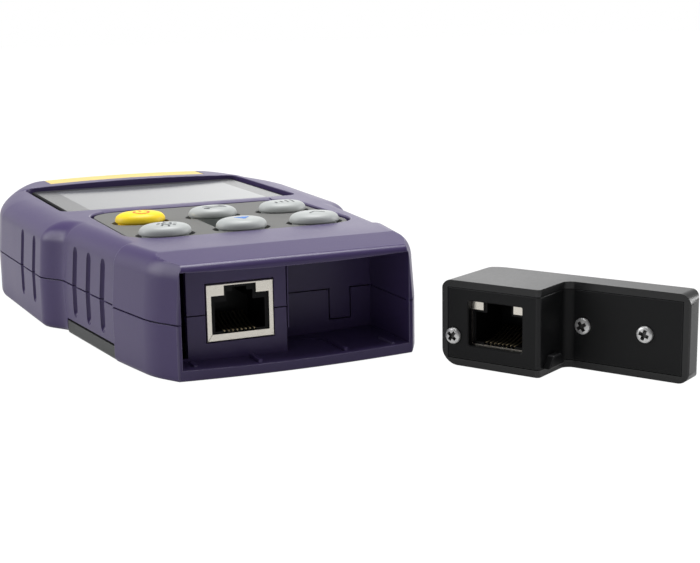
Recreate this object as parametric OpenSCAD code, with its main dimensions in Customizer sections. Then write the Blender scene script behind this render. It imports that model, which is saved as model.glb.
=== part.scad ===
/* [Main body] */
// Length of the main unit from the bay end to the screen end
body_length = 156; // [152:1:162]
// Height from the underside to the deck
body_height = 27.5; // [27:0.5:29]
// Height of the line where the two case halves meet
parting_height = 13.1; // [12.6:0.1:14]
// Width of the bay end at its front face
nose_width = 56.6; // [56.4:0.1:57.4]
// Width behind the angled front corner
collar_front_width = 64.8; // [64:0.2:66]
// Width at the rear ridge of the collar
collar_width = 71.8; // [71.4:0.2:73]
// Width just behind the ridge of the collar
waist_width = 70.4; // [69.6:0.2:71]
// Width at the rear of the grip
grip_width = 77.8; // [77:0.2:79]
// Width just behind the shoulder
shoulder_width = 86.6; // [85:0.2:88]
// Largest width, beside the screen
screen_width = 90.6; // [89:0.2:93]
// Width of the straight part of the far end
tail_flat = 52; // [48:1:56]
// Distance of the angled corner's rear edge from the front
nose_corner = 7; // [6:0.5:8]
// Distance of the collar's ridge from the front
collar_length = 25.6; // [25.5:0.1:26.4]
// Length over which the ridge drops to the waist
ridge_run = 0.9; // [0.6:0.1:1]
// Distance of the rear of the grip from the front
grip_end = 60.8; // [60.6:0.1:62]
// Length of the shoulder curve
shoulder_length = 10; // [8:0.5:11]
// Length of the rounded far end
tail_length = 43; // [40:1:48]
// General wall thickness of the case
wall = 2.4; // [2:0.1:2.6]
// Inward lean of the upper side walls
side_lean = 0.7; // [0.3:0.1:1]
// Height of the rounding along the deck's edge
deck_edge_drop = 5.5; // [5:0.1:6]
// Breadth of that rounding at the bay end
deck_edge_nose = 4; // [3:0.1:4.5]
// Breadth of that rounding at the grip
deck_edge_grip = 6; // [5:0.1:6.5]
// Breadth of that rounding beside the screen
deck_edge_screen = 8.5; // [7:0.1:9]
// Breadth of that rounding at the far end
deck_edge_tail = 6; // [5:0.1:7]
// Rounding along the underside
bottom_edge = 1.6; // [1.4:0.1:2]
// Drop of the deck at the front face
nose_drop = 1.6; // [1.2:0.1:1.7]
// Length of the slope down to the front face
nose_slope = 11.6; // [10:0.2:13]
// Rise of the collar's underside at its sides
nose_crown = 0.5; // [0.3:0.1:0.8]

/* [Side grooves] */
// Radius of the cutter for the side grooves
groove_radius = 1.6; // [1.4:0.1:1.7]
// Depth of the side grooves
groove_depth = 1.2; // [0.9:0.1:1.3]
// Distance of the first groove on the grip from the front
grip_groove_start = 34.4; // [33.5:0.1:35]
// Spacing of the grooves on the grip
grip_groove_pitch = 9.6; // [9:0.1:10]
// Distance of the first groove beside the screen from the front
screen_groove_start = 76.6; // [76:0.1:78]
// Spacing of the grooves beside the screen
screen_groove_pitch = 12.2; // [11:0.1:13]
// Height of the lower end of the grooves
groove_low = 5.6; // [5:0.1:6.5]
// Height of the upper end of the grooves
groove_high = 22.6; // [21.5:0.1:23]

/* [Bay] */
// Width of the bay
bay_width = 54.6; // [54.4:0.1:55]
// Height of the bay floor at its sides
bay_floor = 3; // [2.9:0.1:3.2]
// Thickness of the deck's edge over the bay
bay_lip = 1.4; // [1.3:0.1:1.5]
// Downward bow of floor and ceiling in the middle
bay_bow = 0.65; // [0.3:0.05:0.7]
// Depth of the bay in front of the socket
panel_recess = 8; // [7.8:0.1:8.4]
// Thickness of the wall around the socket
panel_thickness = 1.8; // [1.6:0.1:2]
// Left edge of the wall around the socket
panel_left = -23.6; // [-24:0.1:-23]
// Depth of the deep pocket
pocket_depth = 21.3; // [21:0.1:21.5]
// Left edge of the deep pocket
pocket_left = 0.6; // [0.5:0.1:0.7]
// Thickness of the pocket walls
pocket_wall = 1.6; // [1.4:0.1:1.8]
// Height of the ribs on the bay floor
rib_rise = 0.35; // [0.3:0.05:0.4]

/* [Sockets] */
// Width of a socket shell
socket_width = 16; // [15.8:0.1:16.2]
// Height of a socket shell
socket_height = 13.2; // [13:0.1:13.4]
// Length of a socket shell
socket_length = 14.8; // [14.4:0.1:15]
// Left edge of the main socket
socket_left = -19.1; // [-19.3:0.1:-18.9]
// Underside of the main socket
socket_bottom = 6.6; // [6.5:0.1:6.7]
// How far the main socket stands out of its wall
socket_proud = 0.3; // [0.2:0.1:0.4]
// Sheet thickness of the shell
shell_sheet = 0.4; // [0.3:0.05:0.5]
// Width of the frame strips at the sides of the shell's mouth
shell_side = 1.15; // [1:0.05:1.3]
// Height of the frame strip under the shell's mouth
shell_foot = 1.7; // [1.5:0.1:1.8]
// Width of the corner tabs over the shell's mouth
shell_tab_width = 4.2; // [4:0.1:4.4]
// Height of the corner tabs
shell_tab_height = 2.5; // [2.3:0.1:2.7]
// Width of the plug opening in the insert
plug_width = 11.9; // [11.8:0.1:12]
// Height of the plug opening
plug_height = 6.8; // [6.6:0.1:7]
// Width of the upper latch notch
latch_width = 6.2; // [6:0.1:6.4]
// Height of the latch notch
latch_height = 2.2; // [2:0.1:2.4]
// Depth of the plug opening
plug_depth = 11.6; // [11:0.1:12]
// Spacing of the eight contacts
contact_pitch = 1.02; // [1:0.01:1.04]

/* [Display] */
// Width of the display lens
lens_width = 63.8; // [63:0.1:64.2]
// Distance of the lens's far edge from the far end
lens_margin = 20.4; // [20:0.1:21]
// Distance of the lens's near edge from the front
lens_start = 83.8; // [83.4:0.1:84.4]
// Thickness of the lens
lens_thickness = 1.6; // [1.4:0.1:1.8]
// Depth of the lens under the deck
lens_depth = 1; // [0.9:0.1:1.1]
// Width of the ledge that carries the lens
lens_ledge = 2.6; // [2.2:0.1:3]
// Corner radius of the lens
lens_corner = 3; // [2:0.5:4]

/* [Keypad] */
// Width of the keypad plate
plate_width = 56.6; // [56.2:0.1:56.8]
// Distance of the plate's near edge from the front
plate_start = 30.1; // [30:0.1:30.2]
// Length of the keypad plate
plate_length = 48.5; // [48:0.1:48.8]
// Thickness of the keypad plate
plate_thickness = 1.6; // [1.4:0.1:1.7]
// Depth of the plate under the deck
plate_depth = 0.4; // [0.3:0.1:0.6]
// Corner radius of the keypad plate
plate_corner = 7; // [6:0.5:8]
// Width of a key
key_width = 12.8; // [12.4:0.1:13]
// Depth of a key
key_depth = 10.2; // [9.8:0.1:10.4]
// Height of a key above the plate
key_rise = 2.7; // [2.4:0.1:2.9]
// Spacing of the keys across the body
key_pitch_x = 19.3; // [19.1:0.1:19.4]
// Spacing of the key rows
key_pitch_y = 22; // [21.8:0.1:22.2]
// Distance of the near row from the front
key_start = 36.7; // [36.6:0.1:36.8]
// Clearance round a key
key_gap = 0.35; // [0.3:0.05:0.4]
// Extra width of the key openings at each end
key_slot = 0.5; // [0.3:0.05:0.6]
// Reach of the lip that keeps a key under the plate
key_lip = 1.2; // [1.1:0.05:1.25]
// Travel of a key
key_travel = 0.7; // [0.5:0.1:0.8]

/* [Inside] */
// Thickness of the circuit boards
board_thickness = 1.6; // [1.4:0.1:1.6]
// Depth of the main board's underside under the deck
board_depth = 7.9; // [7.8:0.1:8]
// Diameter of a cell
cell_diameter = 14.3; // [14:0.1:14.4]
// Length of a cell
cell_length = 50.3; // [50:0.1:50.5]
// Thickness of the battery door
door_thickness = 2; // [1.8:0.1:2.2]
// Height of the battery door's edge on the sides
door_edge = 3.5; // [3.3:0.1:3.6]
// Rounding along the battery door's lower edges
door_round = 0.7; // [0.5:0.1:1]
// Gap round the battery door
door_gap = 0.3; // [0.25:0.05:0.35]
// Diameter of the shank of the case screws
case_screw = 2.6; // [2.4:0.1:2.8]
// Width of the yellow end cap
cap_width = 49; // [46:0.5:50]
// Depth of the yellow end cap on the deck
cap_depth = 13; // [12:0.1:13.5]
// Thickness of the yellow end cap
cap_thickness = 1.4; // [1.2:0.1:1.5]
// Height of the lower edge of the yellow end cap
cap_low = 16; // [15:0.5:18]

/* [Remote end] */
// Clearance at each end of the remote in the bay
dock_side = 0.4; // [0.35:0.05:0.5]
// Clearance beside the step in the deep pocket
dock_step = 1.5; // [1.4:0.05:1.6]
// Clearance over the remote in the bay
dock_top = 1; // [0.9:0.1:1.1]
// Clearance behind the thin part in the bay
dock_thin = 1.2; // [1.1:0.1:1.3]
// Clearance behind the thick part in the bay
dock_thick = 2.1; // [2:0.1:2.2]
// Wall thickness of the remote's case
remote_wall = 1.7; // [1.6:0.1:1.8]
// Thickness of the stepped cover
cover_thickness = 1.6; // [1.5:0.1:1.7]
// Gap round the cover
cover_gap = 0.15; // [0.1:0.05:0.2]
// Corner rounding of the remote's ends
remote_corner = 2.4; // [1.8:0.1:2.5]
// Width of the window for the remote's socket
window_width = 13.6; // [13.4:0.1:13.8]
// Height of that window
window_height = 10.2; // [10:0.1:10.4]
// Middle of the remote's socket from the thick end
window_middle = 13.7; // [13.6:0.1:13.8]
// Height of the wedge at the foot of the step
wedge_height = 2.6; // [2.2:0.1:2.8]
// How far the wedge stands out of the step
wedge_reach = 1.6; // [1.2:0.1:1.6]
// Clearance round the wedge when the remote is in the bay
wedge_gap = 0.35; // [0.3:0.05:0.4]
// Head diameter of the remote's screws
remote_head = 3.7; // [3.5:0.1:3.8]
// Height of the screw heads
remote_head_height = 0.9; // [0.7:0.1:0.9]
// Place of the remote beside the main unit, to the right
remote_x = 30.8; // [30.4:0.2:45]
// Place of the remote's near corner from the bay end
remote_y = -9.4; // [-20:0.2:-8]
// Turn of the remote on the table
remote_turn = -60.5; // [-70:0.5:-50]

/* [Hidden] */
$fn = 48;
front = -body_length / 2;
over = 6;
tail_start = body_length - tail_length;
lens_length = body_length - lens_start - lens_margin;
lens_end = lens_start + lens_length;
nose_height = body_height - nose_drop;
bay_ceiling = nose_height - bay_lip;
deck_edge_z = body_height - deck_edge_drop;
nose_slant = (collar_front_width - nose_width) / 2 / nose_corner;
shoulder_end = grip_end + shoulder_length;
box_skin = 1.2;
cell_level = door_thickness + 0.5 + cell_diameter / 2;
box_roof = cell_level + cell_diameter / 2 + 0.4;
board_height = max(body_height - board_depth, box_roof + box_skin + 0.2);
board_top = board_height + board_thickness;
switch_height = 0.7;
stem_end = board_top + switch_height + key_travel + 0.1;
lens_top = body_height - lens_depth;
lens_seat = lens_top - lens_thickness;
plate_top = body_height - plate_depth;
plate_seat = plate_top - plate_thickness;
frame_low = plate_seat - 1.8;
panel_back = panel_recess + panel_thickness;
pocket_back = pocket_depth + pocket_wall;
door_start = collar_length + ridge_run + 0.1;
door_end = grip_end - 0.8;
cell_gap = 0.4;
cell_middle = (door_start + door_end) / 2;
box_half_x = cell_length / 2 + 3.4;
box_half_y = cell_diameter + cell_gap / 2 + 0.3;
screw_spots = [for (y = [0, 1]) for (x = [-1, 1])
  [x * (y == 0 ? screen_width / 2 - 8.1 : tail_flat / 2 + 2.5), y == 0 ? lens_start - 2.8 : body_length - 9.5]];
screw_seat = 7;
screw_length = 12;
remote_length = bay_width - 2 * dock_side;
window_level = remote_wall + board_thickness + socket_height / 2 + 0.15;
remote_height = max(bay_ceiling - bay_bow - bay_floor - rib_rise - dock_top,
  window_level + socket_height / 2 + remote_wall + 0.2);
thick_length = max(bay_width / 2 - pocket_left - dock_side - dock_step,
  window_middle + socket_width / 2 + cover_thickness + 0.3);
thin_depth = panel_recess - dock_thin;
thick_depth = pocket_depth - dock_thick;
step_depth = thick_depth - thin_depth;
remote_spots = [[3.2, 0, 6.8], [thick_length + 4.2, step_depth, remote_height / 2],
  [thick_length + 18.9, step_depth, remote_height / 2]];
boss_radius = 2.2;
screw_shank = 1.9;
latch_step = 3.4;

function edge_at(s) = lookup(s, [[0, deck_edge_nose], [collar_length, deck_edge_nose + 0.5],
  [collar_length + ridge_run, deck_edge_grip - 0.8], [grip_end, deck_edge_grip],
  [shoulder_end, deck_edge_screen], [body_length, deck_edge_screen]]);
function shoulder_at(t) = [grip_width / 2 + (shoulder_width - grip_width) / 2 * (1 - cos(180 * t)) / 2,
  grip_end + shoulder_length * t];
function side_points() = concat(
  [[nose_width / 2 - over * nose_slant, -over], [collar_front_width / 2, nose_corner],
    [collar_width / 2, collar_length], [waist_width / 2, collar_length + ridge_run]],
  [for (i = [0 : 8]) shoulder_at(i / 8)]);
function inset_side(p, inset, k) = [p[0] - inset - k * edge_at(p[1]), p[1] + front];
function tail_point(a, inset, k) = [
  tail_flat / 2 + ((screen_width - tail_flat) / 2 - inset - k * deck_edge_screen) * cos(a),
  front + tail_start + (body_length - tail_start - inset - k * deck_edge_tail) * sin(a)];
function half_ring(inset, k) = concat([for (p = side_points()) inset_side(p, inset, k)],
  [for (i = [0 : 12]) tail_point(7.5 * i, inset, k)]);
function flip(points) = [for (i = [len(points) - 1 : -1 : 0]) [-points[i][0], points[i][1]]];
function ring(inset, k) = concat(half_ring(inset, k), flip(half_ring(inset, k)));
function bottom_levels(r) = concat(
  [for (a = [90 : -22.5 : 0]) [r * (1 - sin(a)), r * (1 - cos(a)), 0]], [[parting_height, 0, 0]]);
function top_levels() = concat([[parting_height, 0, 0]],
  [for (a = [0 : 15 : 90]) [deck_edge_z + deck_edge_drop * sin(a), side_lean, 1 - cos(a)]]);
function side_at(s) = lookup(s, [for (p = side_points()) [p[1], p[0]]]);
function screen_side_at(s) = shoulder_width / 2
  + (screen_width - shoulder_width) / 2 * (s - shoulder_end) / (tail_start - shoulder_end);
function bow_at(x) = bay_bow * (1 - pow(2 * x / bay_width, 2));

module loft(levels) {
  n = len(ring(0, 0));
  m = len(levels);
  points = [for (l = levels) for (p = ring(l[1], l[2])) [p[0], p[1], l[0]]];
  top = (m - 1) * n;
  low = [for (i = [0 : n / 2 - 2]) [i, i + 1, n - 2 - i, n - 1 - i]];
  high = [for (f = low) [top + f[3], top + f[2], top + f[1], top + f[0]]];
  sides = [for (j = [0 : m - 2]) for (i = [0 : n - 1]) for (t = [0, 1])
    let(a = j * n + i, b = j * n + (i + 1) % n) t == 0 ? [a, b + n, b] : [a, a + n, b + n]];
  polyhedron(points, concat(low, high, sides));
}

module slab(x0, x1, s0, s1, z0, z1) {
  translate([x0, front + s0, z0]) cube([x1 - x0, s1 - s0, z1 - z0]);
}

module rounded_plan(width, length, radius) {
  square([width - 2 * radius, length], center = true);
  square([width, length - 2 * radius], center = true);
  for (x = [-1, 1]) for (y = [-1, 1])
    translate([x * (width / 2 - radius), y * (length / 2 - radius)]) circle(radius);
}

module along_body(s0, s1) {
  translate([0, front + s1, 0]) rotate([90, 0, 0]) linear_extrude(s1 - s0) children();
}

module across_body() {
  translate([-60, front, 0]) rotate([90, 0, 90]) linear_extrude(120) children();
}

module front_cut() {
  slab(-60, 60, -20, 0, -1, 40);
}

module slope_cut() {
  rise = body_height - nose_height;
  across_body() polygon([[-1, nose_height - rise / nose_slope], [nose_slope, body_height],
    [nose_slope, body_height + 5], [-1, body_height + 5]]);
}

module crown_cut() {
  along_body(-1, collar_length) polygon(concat(
    [for (i = [-10 : 10]) [4 * i, nose_crown * pow(8 * i / bay_width, 2)]], [[40, -2], [-40, -2]]));
}

module bay_profile(x0, x1) {
  steps = 10;
  polygon(concat(
    [for (i = [0 : steps]) let(x = x0 + (x1 - x0) * i / steps) [x, bay_floor - bow_at(x)]],
    [for (i = [steps : -1 : 0]) let(x = x0 + (x1 - x0) * i / steps) [x, bay_ceiling - bow_at(x)]]));
}

module bay_void() {
  along_body(-1, panel_recess) bay_profile(-bay_width / 2, bay_width / 2);
  along_body(panel_recess - 0.5, pocket_depth) bay_profile(pocket_left, bay_width / 2);
}

module socket_cut() {
  gap = 0.15;
  slab(socket_left - gap, socket_left + socket_width + gap, panel_recess - 1, panel_back + 1,
    socket_bottom - gap, socket_bottom + socket_height + gap);
}

module panel_gap_cut() {
  slab(-bay_width / 2, panel_left, panel_recess - 0.5, panel_back + 0.5, bay_floor + 0.4, bay_ceiling - 1);
}

module wedge_notch() {
  slab(pocket_left + dock_step - wedge_reach - wedge_gap, pocket_left + 0.5, panel_recess - 0.5, pocket_depth - 2,
    bay_floor - bay_bow, bay_floor + rib_rise + remote_wall + wedge_height + wedge_gap);
}

module cavity_plan(inset, k) {
  difference() {
    polygon(ring(inset, k));
    translate([-60, front - 10]) square([120, panel_back + 10]);
    translate([pocket_left - pocket_wall, front - 10]) square([60, pocket_back + 10]);
  }
}

module groove_cuts() {
  spots = concat([for (i = [0 : 2]) grip_groove_start + i * grip_groove_pitch],
    [for (i = [0 : 1]) screen_groove_start + i * screen_groove_pitch]);
  lean = atan(side_lean / (deck_edge_z - parting_height));
  for (s = spots) for (side = [-1, 1]) {
    half = s < shoulder_end ? side_at(s) : screen_side_at(s);
    translate([side * (half + groove_radius - groove_depth), front + s, groove_low])
      cylinder(h = parting_height - groove_low, r = groove_radius, $fn = 24);
    translate([side * (half + groove_radius - groove_depth), front + s, parting_height])
      rotate([0, -side * lean, 0]) cylinder(h = groove_high - parting_height, r = groove_radius, $fn = 24);
  }
}

module cap_skin(grow) {
  skin = cap_thickness + grow;
  difference() {
    slab(-cap_width / 2 - grow, cap_width / 2 + grow, body_length - cap_depth - grow, body_length + 5,
      cap_low - grow, body_height + 1);
    loft([for (l = top_levels()) [l[0] - skin, l[1] + skin, l[2]]]);
  }
}

module lens_plan(grow) {
  translate([0, front + lens_start + lens_length / 2])
    rounded_plan(lens_width + 2 * grow, lens_length + 2 * grow, lens_corner + grow);
}

module lens_window() {
  translate([0, front + lens_start + lens_length / 2])
    rounded_plan(lens_width - 2 * lens_ledge, lens_length - 2 * lens_ledge, 1);
}

module plate_plan(grow) {
  translate([0, front + plate_start + plate_length / 2])
    rounded_plan(plate_width + 2 * grow, plate_length + 2 * grow, plate_corner + grow);
}

module top_shell() {
  difference() {
    loft(top_levels());
    front_cut();
    slope_cut();
    translate([0, 0, parting_height - 1]) linear_extrude(deck_edge_z - parting_height + 0.5)
      cavity_plan(wall + side_lean, 0);
    translate([0, 0, deck_edge_z - 1]) linear_extrude(body_height - 2.2 - deck_edge_z + 1)
      cavity_plan(wall + side_lean, 0.5);
    bay_void();
    groove_cuts();
    cap_skin(0.15);
  }
}

module top_case() {
  color([0.36, 0.33, 0.46]) difference() {
    union() {
      top_shell();
      slab(-lens_width / 2 - 2.4, lens_width / 2 + 2.4, lens_start - 2.4, lens_end + 2.4,
        lens_seat - 1.6, body_height - 2);
      slab(-plate_width / 2 - 2, plate_width / 2 + 2, plate_start - 1.6, plate_start + plate_length + 2,
        frame_low, plate_seat + 0.15);
      for (p = screw_spots) translate([p[0], front + p[1], parting_height])
        cylinder(h = body_height - 2 - parting_height, r = 3);
      slab(15.6, 21.4, pocket_depth, pocket_back, bay_floor + 4.4, parting_height);
    }
    translate([0, 0, lens_seat]) linear_extrude(10) lens_plan(0.35);
    translate([0, 0, lens_seat - 5]) linear_extrude(10) lens_window();
    translate([0, 0, plate_seat]) linear_extrude(10) plate_plan(0.3);
    slab(-plate_width / 2 + 0.9, plate_width / 2 - 0.9, plate_start + 0.7, plate_start + plate_length - 2,
      frame_low - 1, plate_seat + 1);
    for (p = screw_spots) translate([p[0], front + p[1], parting_height - 1])
      cylinder(h = screw_length - parting_height + screw_seat + 2, d = case_screw);
    socket_cut();
    panel_gap_cut();
  }
}

module bottom_case() {
  color([0.34, 0.31, 0.44]) difference() {
    union() {
      difference() {
        loft(bottom_levels(bottom_edge));
        front_cut();
        crown_cut();
        translate([0, 0, 2.2]) linear_extrude(parting_height) cavity_plan(wall, 0);
        bay_void();
        groove_cuts();
      }
      cell_box();
      for (p = screw_spots) translate([p[0], front + p[1], 1]) cylinder(h = parting_height - 1, r = 3.6);
      for (s = [panel_back + 2.2, panel_back + 14.2]) for (x = [-21, -3]) translate([x, front + s, 1.5])
        cylinder(h = socket_bottom - board_thickness - 1.5, r = 1.8);
      floor_ribs();
    }
    slab(-60, 60, door_start - door_gap, door_end + door_gap, -1, door_edge + door_gap);
    for (p = screw_spots) translate([p[0], front + p[1], -1]) cylinder(h = 30, d = case_screw + 0.4);
    for (p = screw_spots) translate([p[0], front + p[1], -1]) cylinder(h = screw_seat + 1, d = 5.6);
    socket_cut();
    panel_gap_cut();
    wedge_notch();
    slab(15.4, 21.6, pocket_depth - 0.01, pocket_back + 0.01, bay_floor + 4.2, parting_height + 1);
  }
}

module floor_ribs() {
  for (r = [[-23.7, 2.5, 6.5], [-9.2, 0.8, 6.6], [12, 1.6, 12], [23.6, 0.9, 8.4]])
    slab(r[0] - 0.5, r[0] + 0.5, r[1], r[2], bay_floor - bay_bow - 0.3, bay_floor + rib_rise);
}

module cell_box() {
  difference() {
    slab(-box_half_x - box_skin, box_half_x + box_skin, cell_middle - box_half_y - box_skin,
      cell_middle + box_half_y + box_skin, 2.2, box_roof + box_skin);
    slab(-box_half_x, box_half_x, cell_middle - box_half_y, cell_middle + box_half_y, 0, box_roof);
  }
  for (side = [-1, 1]) for (end = [-1, 1])
    slab(side > 0 ? box_half_x : -side_at(cell_middle) + 1, side > 0 ? side_at(cell_middle) - 1 : -box_half_x,
      cell_middle + end * (box_half_y + box_skin / 2) - box_skin / 2,
      cell_middle + end * (box_half_y + box_skin / 2) + box_skin / 2, door_edge, parting_height);
}

module battery_door() {
  color([0.38, 0.39, 0.39]) difference() {
    intersection() {
      loft(bottom_levels(door_round));
      slab(-60, 60, door_start, door_end, -1, door_edge);
    }
    slab(-box_half_x - 2, box_half_x + 2, door_start - 1, door_end + 1, door_thickness, 10);
    for (i = [-2 : 2]) slab(-9, 9, cell_middle + 2.4 * i - 0.6, cell_middle + 2.4 * i + 0.6, -1, 0.6);
  }
}

module end_cap() {
  color([0.95, 0.78, 0.25]) intersection() {
    loft(top_levels());
    cap_skin(0);
  }
}

module display_lens() {
  color([0.78, 0.8, 0.82]) translate([0, 0, lens_seat]) linear_extrude(lens_thickness) lens_plan(0);
}

module display_panel() {
  color([0.66, 0.69, 0.68]) slab(-lens_width / 2 + lens_ledge + 0.6, lens_width / 2 - lens_ledge - 0.6,
    lens_start + lens_ledge + 0.6, lens_end - lens_ledge - 0.6, lens_seat - 1.7, lens_seat - 0.1);
}

module backlight() {
  color([0.92, 0.92, 0.9]) slab(-lens_width / 2 + lens_ledge + 1, lens_width / 2 - lens_ledge - 1,
    lens_start + lens_ledge + 1, lens_end - lens_ledge - 1, board_top, lens_seat - 1.7);
}

module key_spot(column, row) {
  translate([column * key_pitch_x, front + key_start + row * key_pitch_y, 0]) children();
}

module oval(width, depth) {
  scale([width / depth, 1, 1]) circle(d = depth, $fn = 96);
}

module keypad_plate() {
  color([0.52, 0.52, 0.52]) translate([0, 0, plate_seat]) linear_extrude(plate_thickness) difference() {
    plate_plan(0);
    for (column = [-1, 1]) for (row = [0, 1]) key_spot(column, row)
      oval(key_width + 2 * key_gap + 2 * key_slot, key_depth + 2 * key_gap);
    for (row = [0, 1]) key_spot(0, row) oval(key_width + 2 * key_gap + 2 * key_slot, key_depth + 2 * key_gap);
    translate([0, front + key_start + key_pitch_y / 2])
      square([key_width - 2, key_pitch_y - 4], center = true);
  }
}

module key_body() {
  top = plate_top + key_rise;
  low = plate_seat - 0.9;
  dome = key_rise - 0.7;
  arch_x = (pow(key_width / 2, 2) + pow(dome, 2)) / 2 / dome;
  arch_y = (pow(key_depth / 2, 2) + pow(dome, 2)) / 2 / dome;
  intersection() {
    translate([0, 0, low]) linear_extrude(top - low) oval(key_width, key_depth);
    translate([0, 0, top - arch_x]) rotate([90, 0, 0]) cylinder(h = 20, r = arch_x, center = true, $fn = 96);
    translate([0, 0, top - arch_y]) rotate([0, 90, 0]) cylinder(h = 20, r = arch_y, center = true, $fn = 96);
  }
  translate([-key_width / 2 - key_lip, -3.6, low]) cube([key_width + 2 * key_lip, 7.2, 0.6]);
  translate([0, 0, stem_end]) cylinder(h = low + 0.5 - stem_end, d = 4);
}

module power_key() {
  color([0.97, 0.85, 0.15]) key_spot(-1, 1) key_body();
}

module key_back_mid() {
  color([0.8, 0.82, 0.82]) key_spot(0, 1) key_body();
}

module key_back_right() {
  color([0.8, 0.82, 0.82]) key_spot(1, 1) key_body();
}

module key_front_left() {
  color([0.8, 0.82, 0.82]) key_spot(-1, 0) key_body();
}

module key_front_mid() {
  color([0.8, 0.82, 0.82]) key_spot(0, 0) key_body();
}

module key_front_right() {
  color([0.8, 0.82, 0.82]) key_spot(1, 0) key_body();
}

module key_switches() {
  color([0.7, 0.7, 0.66]) for (column = [-1 : 1]) for (row = [0, 1]) key_spot(column, row)
    translate([0, 0, board_top]) {
      translate([-2.6, -2.6, 0]) cube([5.2, 5.2, 0.4]);
      cylinder(h = switch_height, d = 3);
    }
}

module main_board() {
  grip_half = waist_width / 2 - wall - 1.3;
  screen_half = lens_width / 2 + 1.5;
  color([0.1, 0.36, 0.2]) difference() {
    union() {
      slab(-grip_half, grip_half, pocket_back + 1.2, plate_start + plate_length + 1.5, board_height, board_top);
      slab(-screen_half, screen_half, plate_start + plate_length, lens_end + 5.4, board_height, board_top);
    }
    for (x = [-1, 1]) translate([x * (screen_half - 7.4), front + lens_start - 7.8, board_height - 1])
      cylinder(h = 4, d = 3);
  }
}

module socket_board() {
  color([0.1, 0.36, 0.2]) slab(socket_left - 4.8, pocket_left - pocket_wall - 0.6,
    panel_back + 0.6, panel_recess + socket_length + 4, socket_bottom - board_thickness, socket_bottom);
}

module board_header() {
  left = socket_left + 1.7;
  start = panel_recess + socket_length + 1.5;
  color([0.12, 0.12, 0.13]) {
    slab(left, left + 12, start, start + 2.5, socket_bottom, socket_bottom + 2.5);
    slab(left, left + 12, start, start + 2.5, board_height - 2.5, board_height);
    for (i = [0 : 3]) slab(left + 1.2 + 3 * i, left + 1.9 + 3 * i, start + 0.9, start + 1.6,
      socket_bottom + 2, board_height - 2);
  }
}

module mouth_plan() {
  translate([-socket_width / 2 + shell_side, shell_foot])
    square([socket_width - 2 * shell_side, socket_height - shell_foot - shell_tab_height]);
  translate([-socket_width / 2 + shell_tab_width, shell_foot])
    square([socket_width - 2 * shell_tab_width, socket_height - shell_foot - 0.5]);
}

module plug_plan() {
  base = shell_foot + 0.5;
  translate([-plug_width / 2, base]) square([plug_width, plug_height]);
  translate([-latch_width / 2, base]) square([latch_width, plug_height + latch_height]);
  translate([-latch_step / 2, base]) square([latch_step, plug_height + latch_height + 0.9]);
}

module socket_depth(from, to) {
  translate([0, to, 0]) rotate([90, 0, 0]) linear_extrude(to - from) children();
}

module shell_solid() {
  difference() {
    translate([-socket_width / 2, 0, 0]) cube([socket_width, socket_length, socket_height]);
    translate([-socket_width / 2 + shell_sheet, shell_sheet, shell_sheet])
      cube([socket_width - 2 * shell_sheet, socket_length, socket_height - 2 * shell_sheet]);
    socket_depth(-1, shell_sheet + 1) mouth_plan();
  }
}

module insert_solid() {
  gap = 0.08;
  difference() {
    translate([-socket_width / 2 + shell_sheet + gap, shell_sheet + gap, shell_sheet + gap])
      cube([socket_width - 2 * shell_sheet - 2 * gap, socket_length - shell_sheet - gap,
        socket_height - 2 * shell_sheet - 2 * gap]);
    socket_depth(-1, shell_sheet + plug_depth) plug_plan();
    for (i = [0 : 7]) translate([(i - 3.5) * contact_pitch - 0.32, 0, shell_foot - 0.3])
      cube([0.64, shell_sheet + plug_depth + 1, 1]);
  }
}

module contact_solids() {
  base = shell_foot - 0.2;
  for (i = [0 : 7]) translate([(i - 3.5) * contact_pitch - 0.22, 0, base])
    rotate([90, 0, 90]) linear_extrude(0.44) polygon([[shell_sheet + 0.8, 0], [shell_sheet + 1.3, 0],
      [shell_sheet + 9.6, 2.6], [shell_sheet + 9.6, 3.1], [shell_sheet + 1.1, 0.5], [shell_sheet + 0.8, 0.5]]);
  for (i = [0 : 7]) translate([(i - 3.5) * contact_pitch - 0.22, shell_sheet + 0.8, base])
    cube([0.44, plug_depth, 0.4]);
}

module at_main_socket() {
  translate([socket_left + socket_width / 2, front + panel_recess - socket_proud, socket_bottom]) children();
}

module socket_shell() {
  color([0.8, 0.78, 0.74]) at_main_socket() shell_solid();
}

module socket_insert() {
  color([0.08, 0.08, 0.09]) at_main_socket() insert_solid();
}

module socket_contacts() {
  color([0.85, 0.7, 0.35]) at_main_socket() contact_solids();
}

module cells() {
  color([0.2, 0.22, 0.26]) for (side = [-1, 1])
    translate([0, front + cell_middle + side * (cell_diameter + cell_gap) / 2, cell_level])
      rotate([0, side * 90, 0]) {
        translate([0, 0, -cell_length / 2]) cylinder(h = cell_length - 1.2, d = cell_diameter);
        translate([0, 0, cell_length / 2 - 1.2]) cylinder(h = 1.2, d = 5.4);
      }
}

module cell_contacts() {
  side = 0.63 * cell_diameter;
  color([0.78, 0.78, 0.76]) for (side = [-1, 1])
    translate([0, front + cell_middle + side * (cell_diameter + cell_gap) / 2, cell_level])
      rotate([0, side * 90, 0]) {
        translate([-side / 2, -side / 2, box_half_x - 0.5]) cube([side, side, 0.4]);
        translate([0, 0, cell_length / 2 + 0.05]) cylinder(h = box_half_x - 0.3 - cell_length / 2, d = 0.45 * side);
        translate([-side / 2, -side / 2, -box_half_x + 0.1]) cube([side, side, 0.4]);
        translate([0, 0, -box_half_x + 0.3])
          cylinder(h = box_half_x - 0.35 - cell_length / 2, d1 = 0.9 * side, d2 = 0.55 * side);
      }
}

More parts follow.
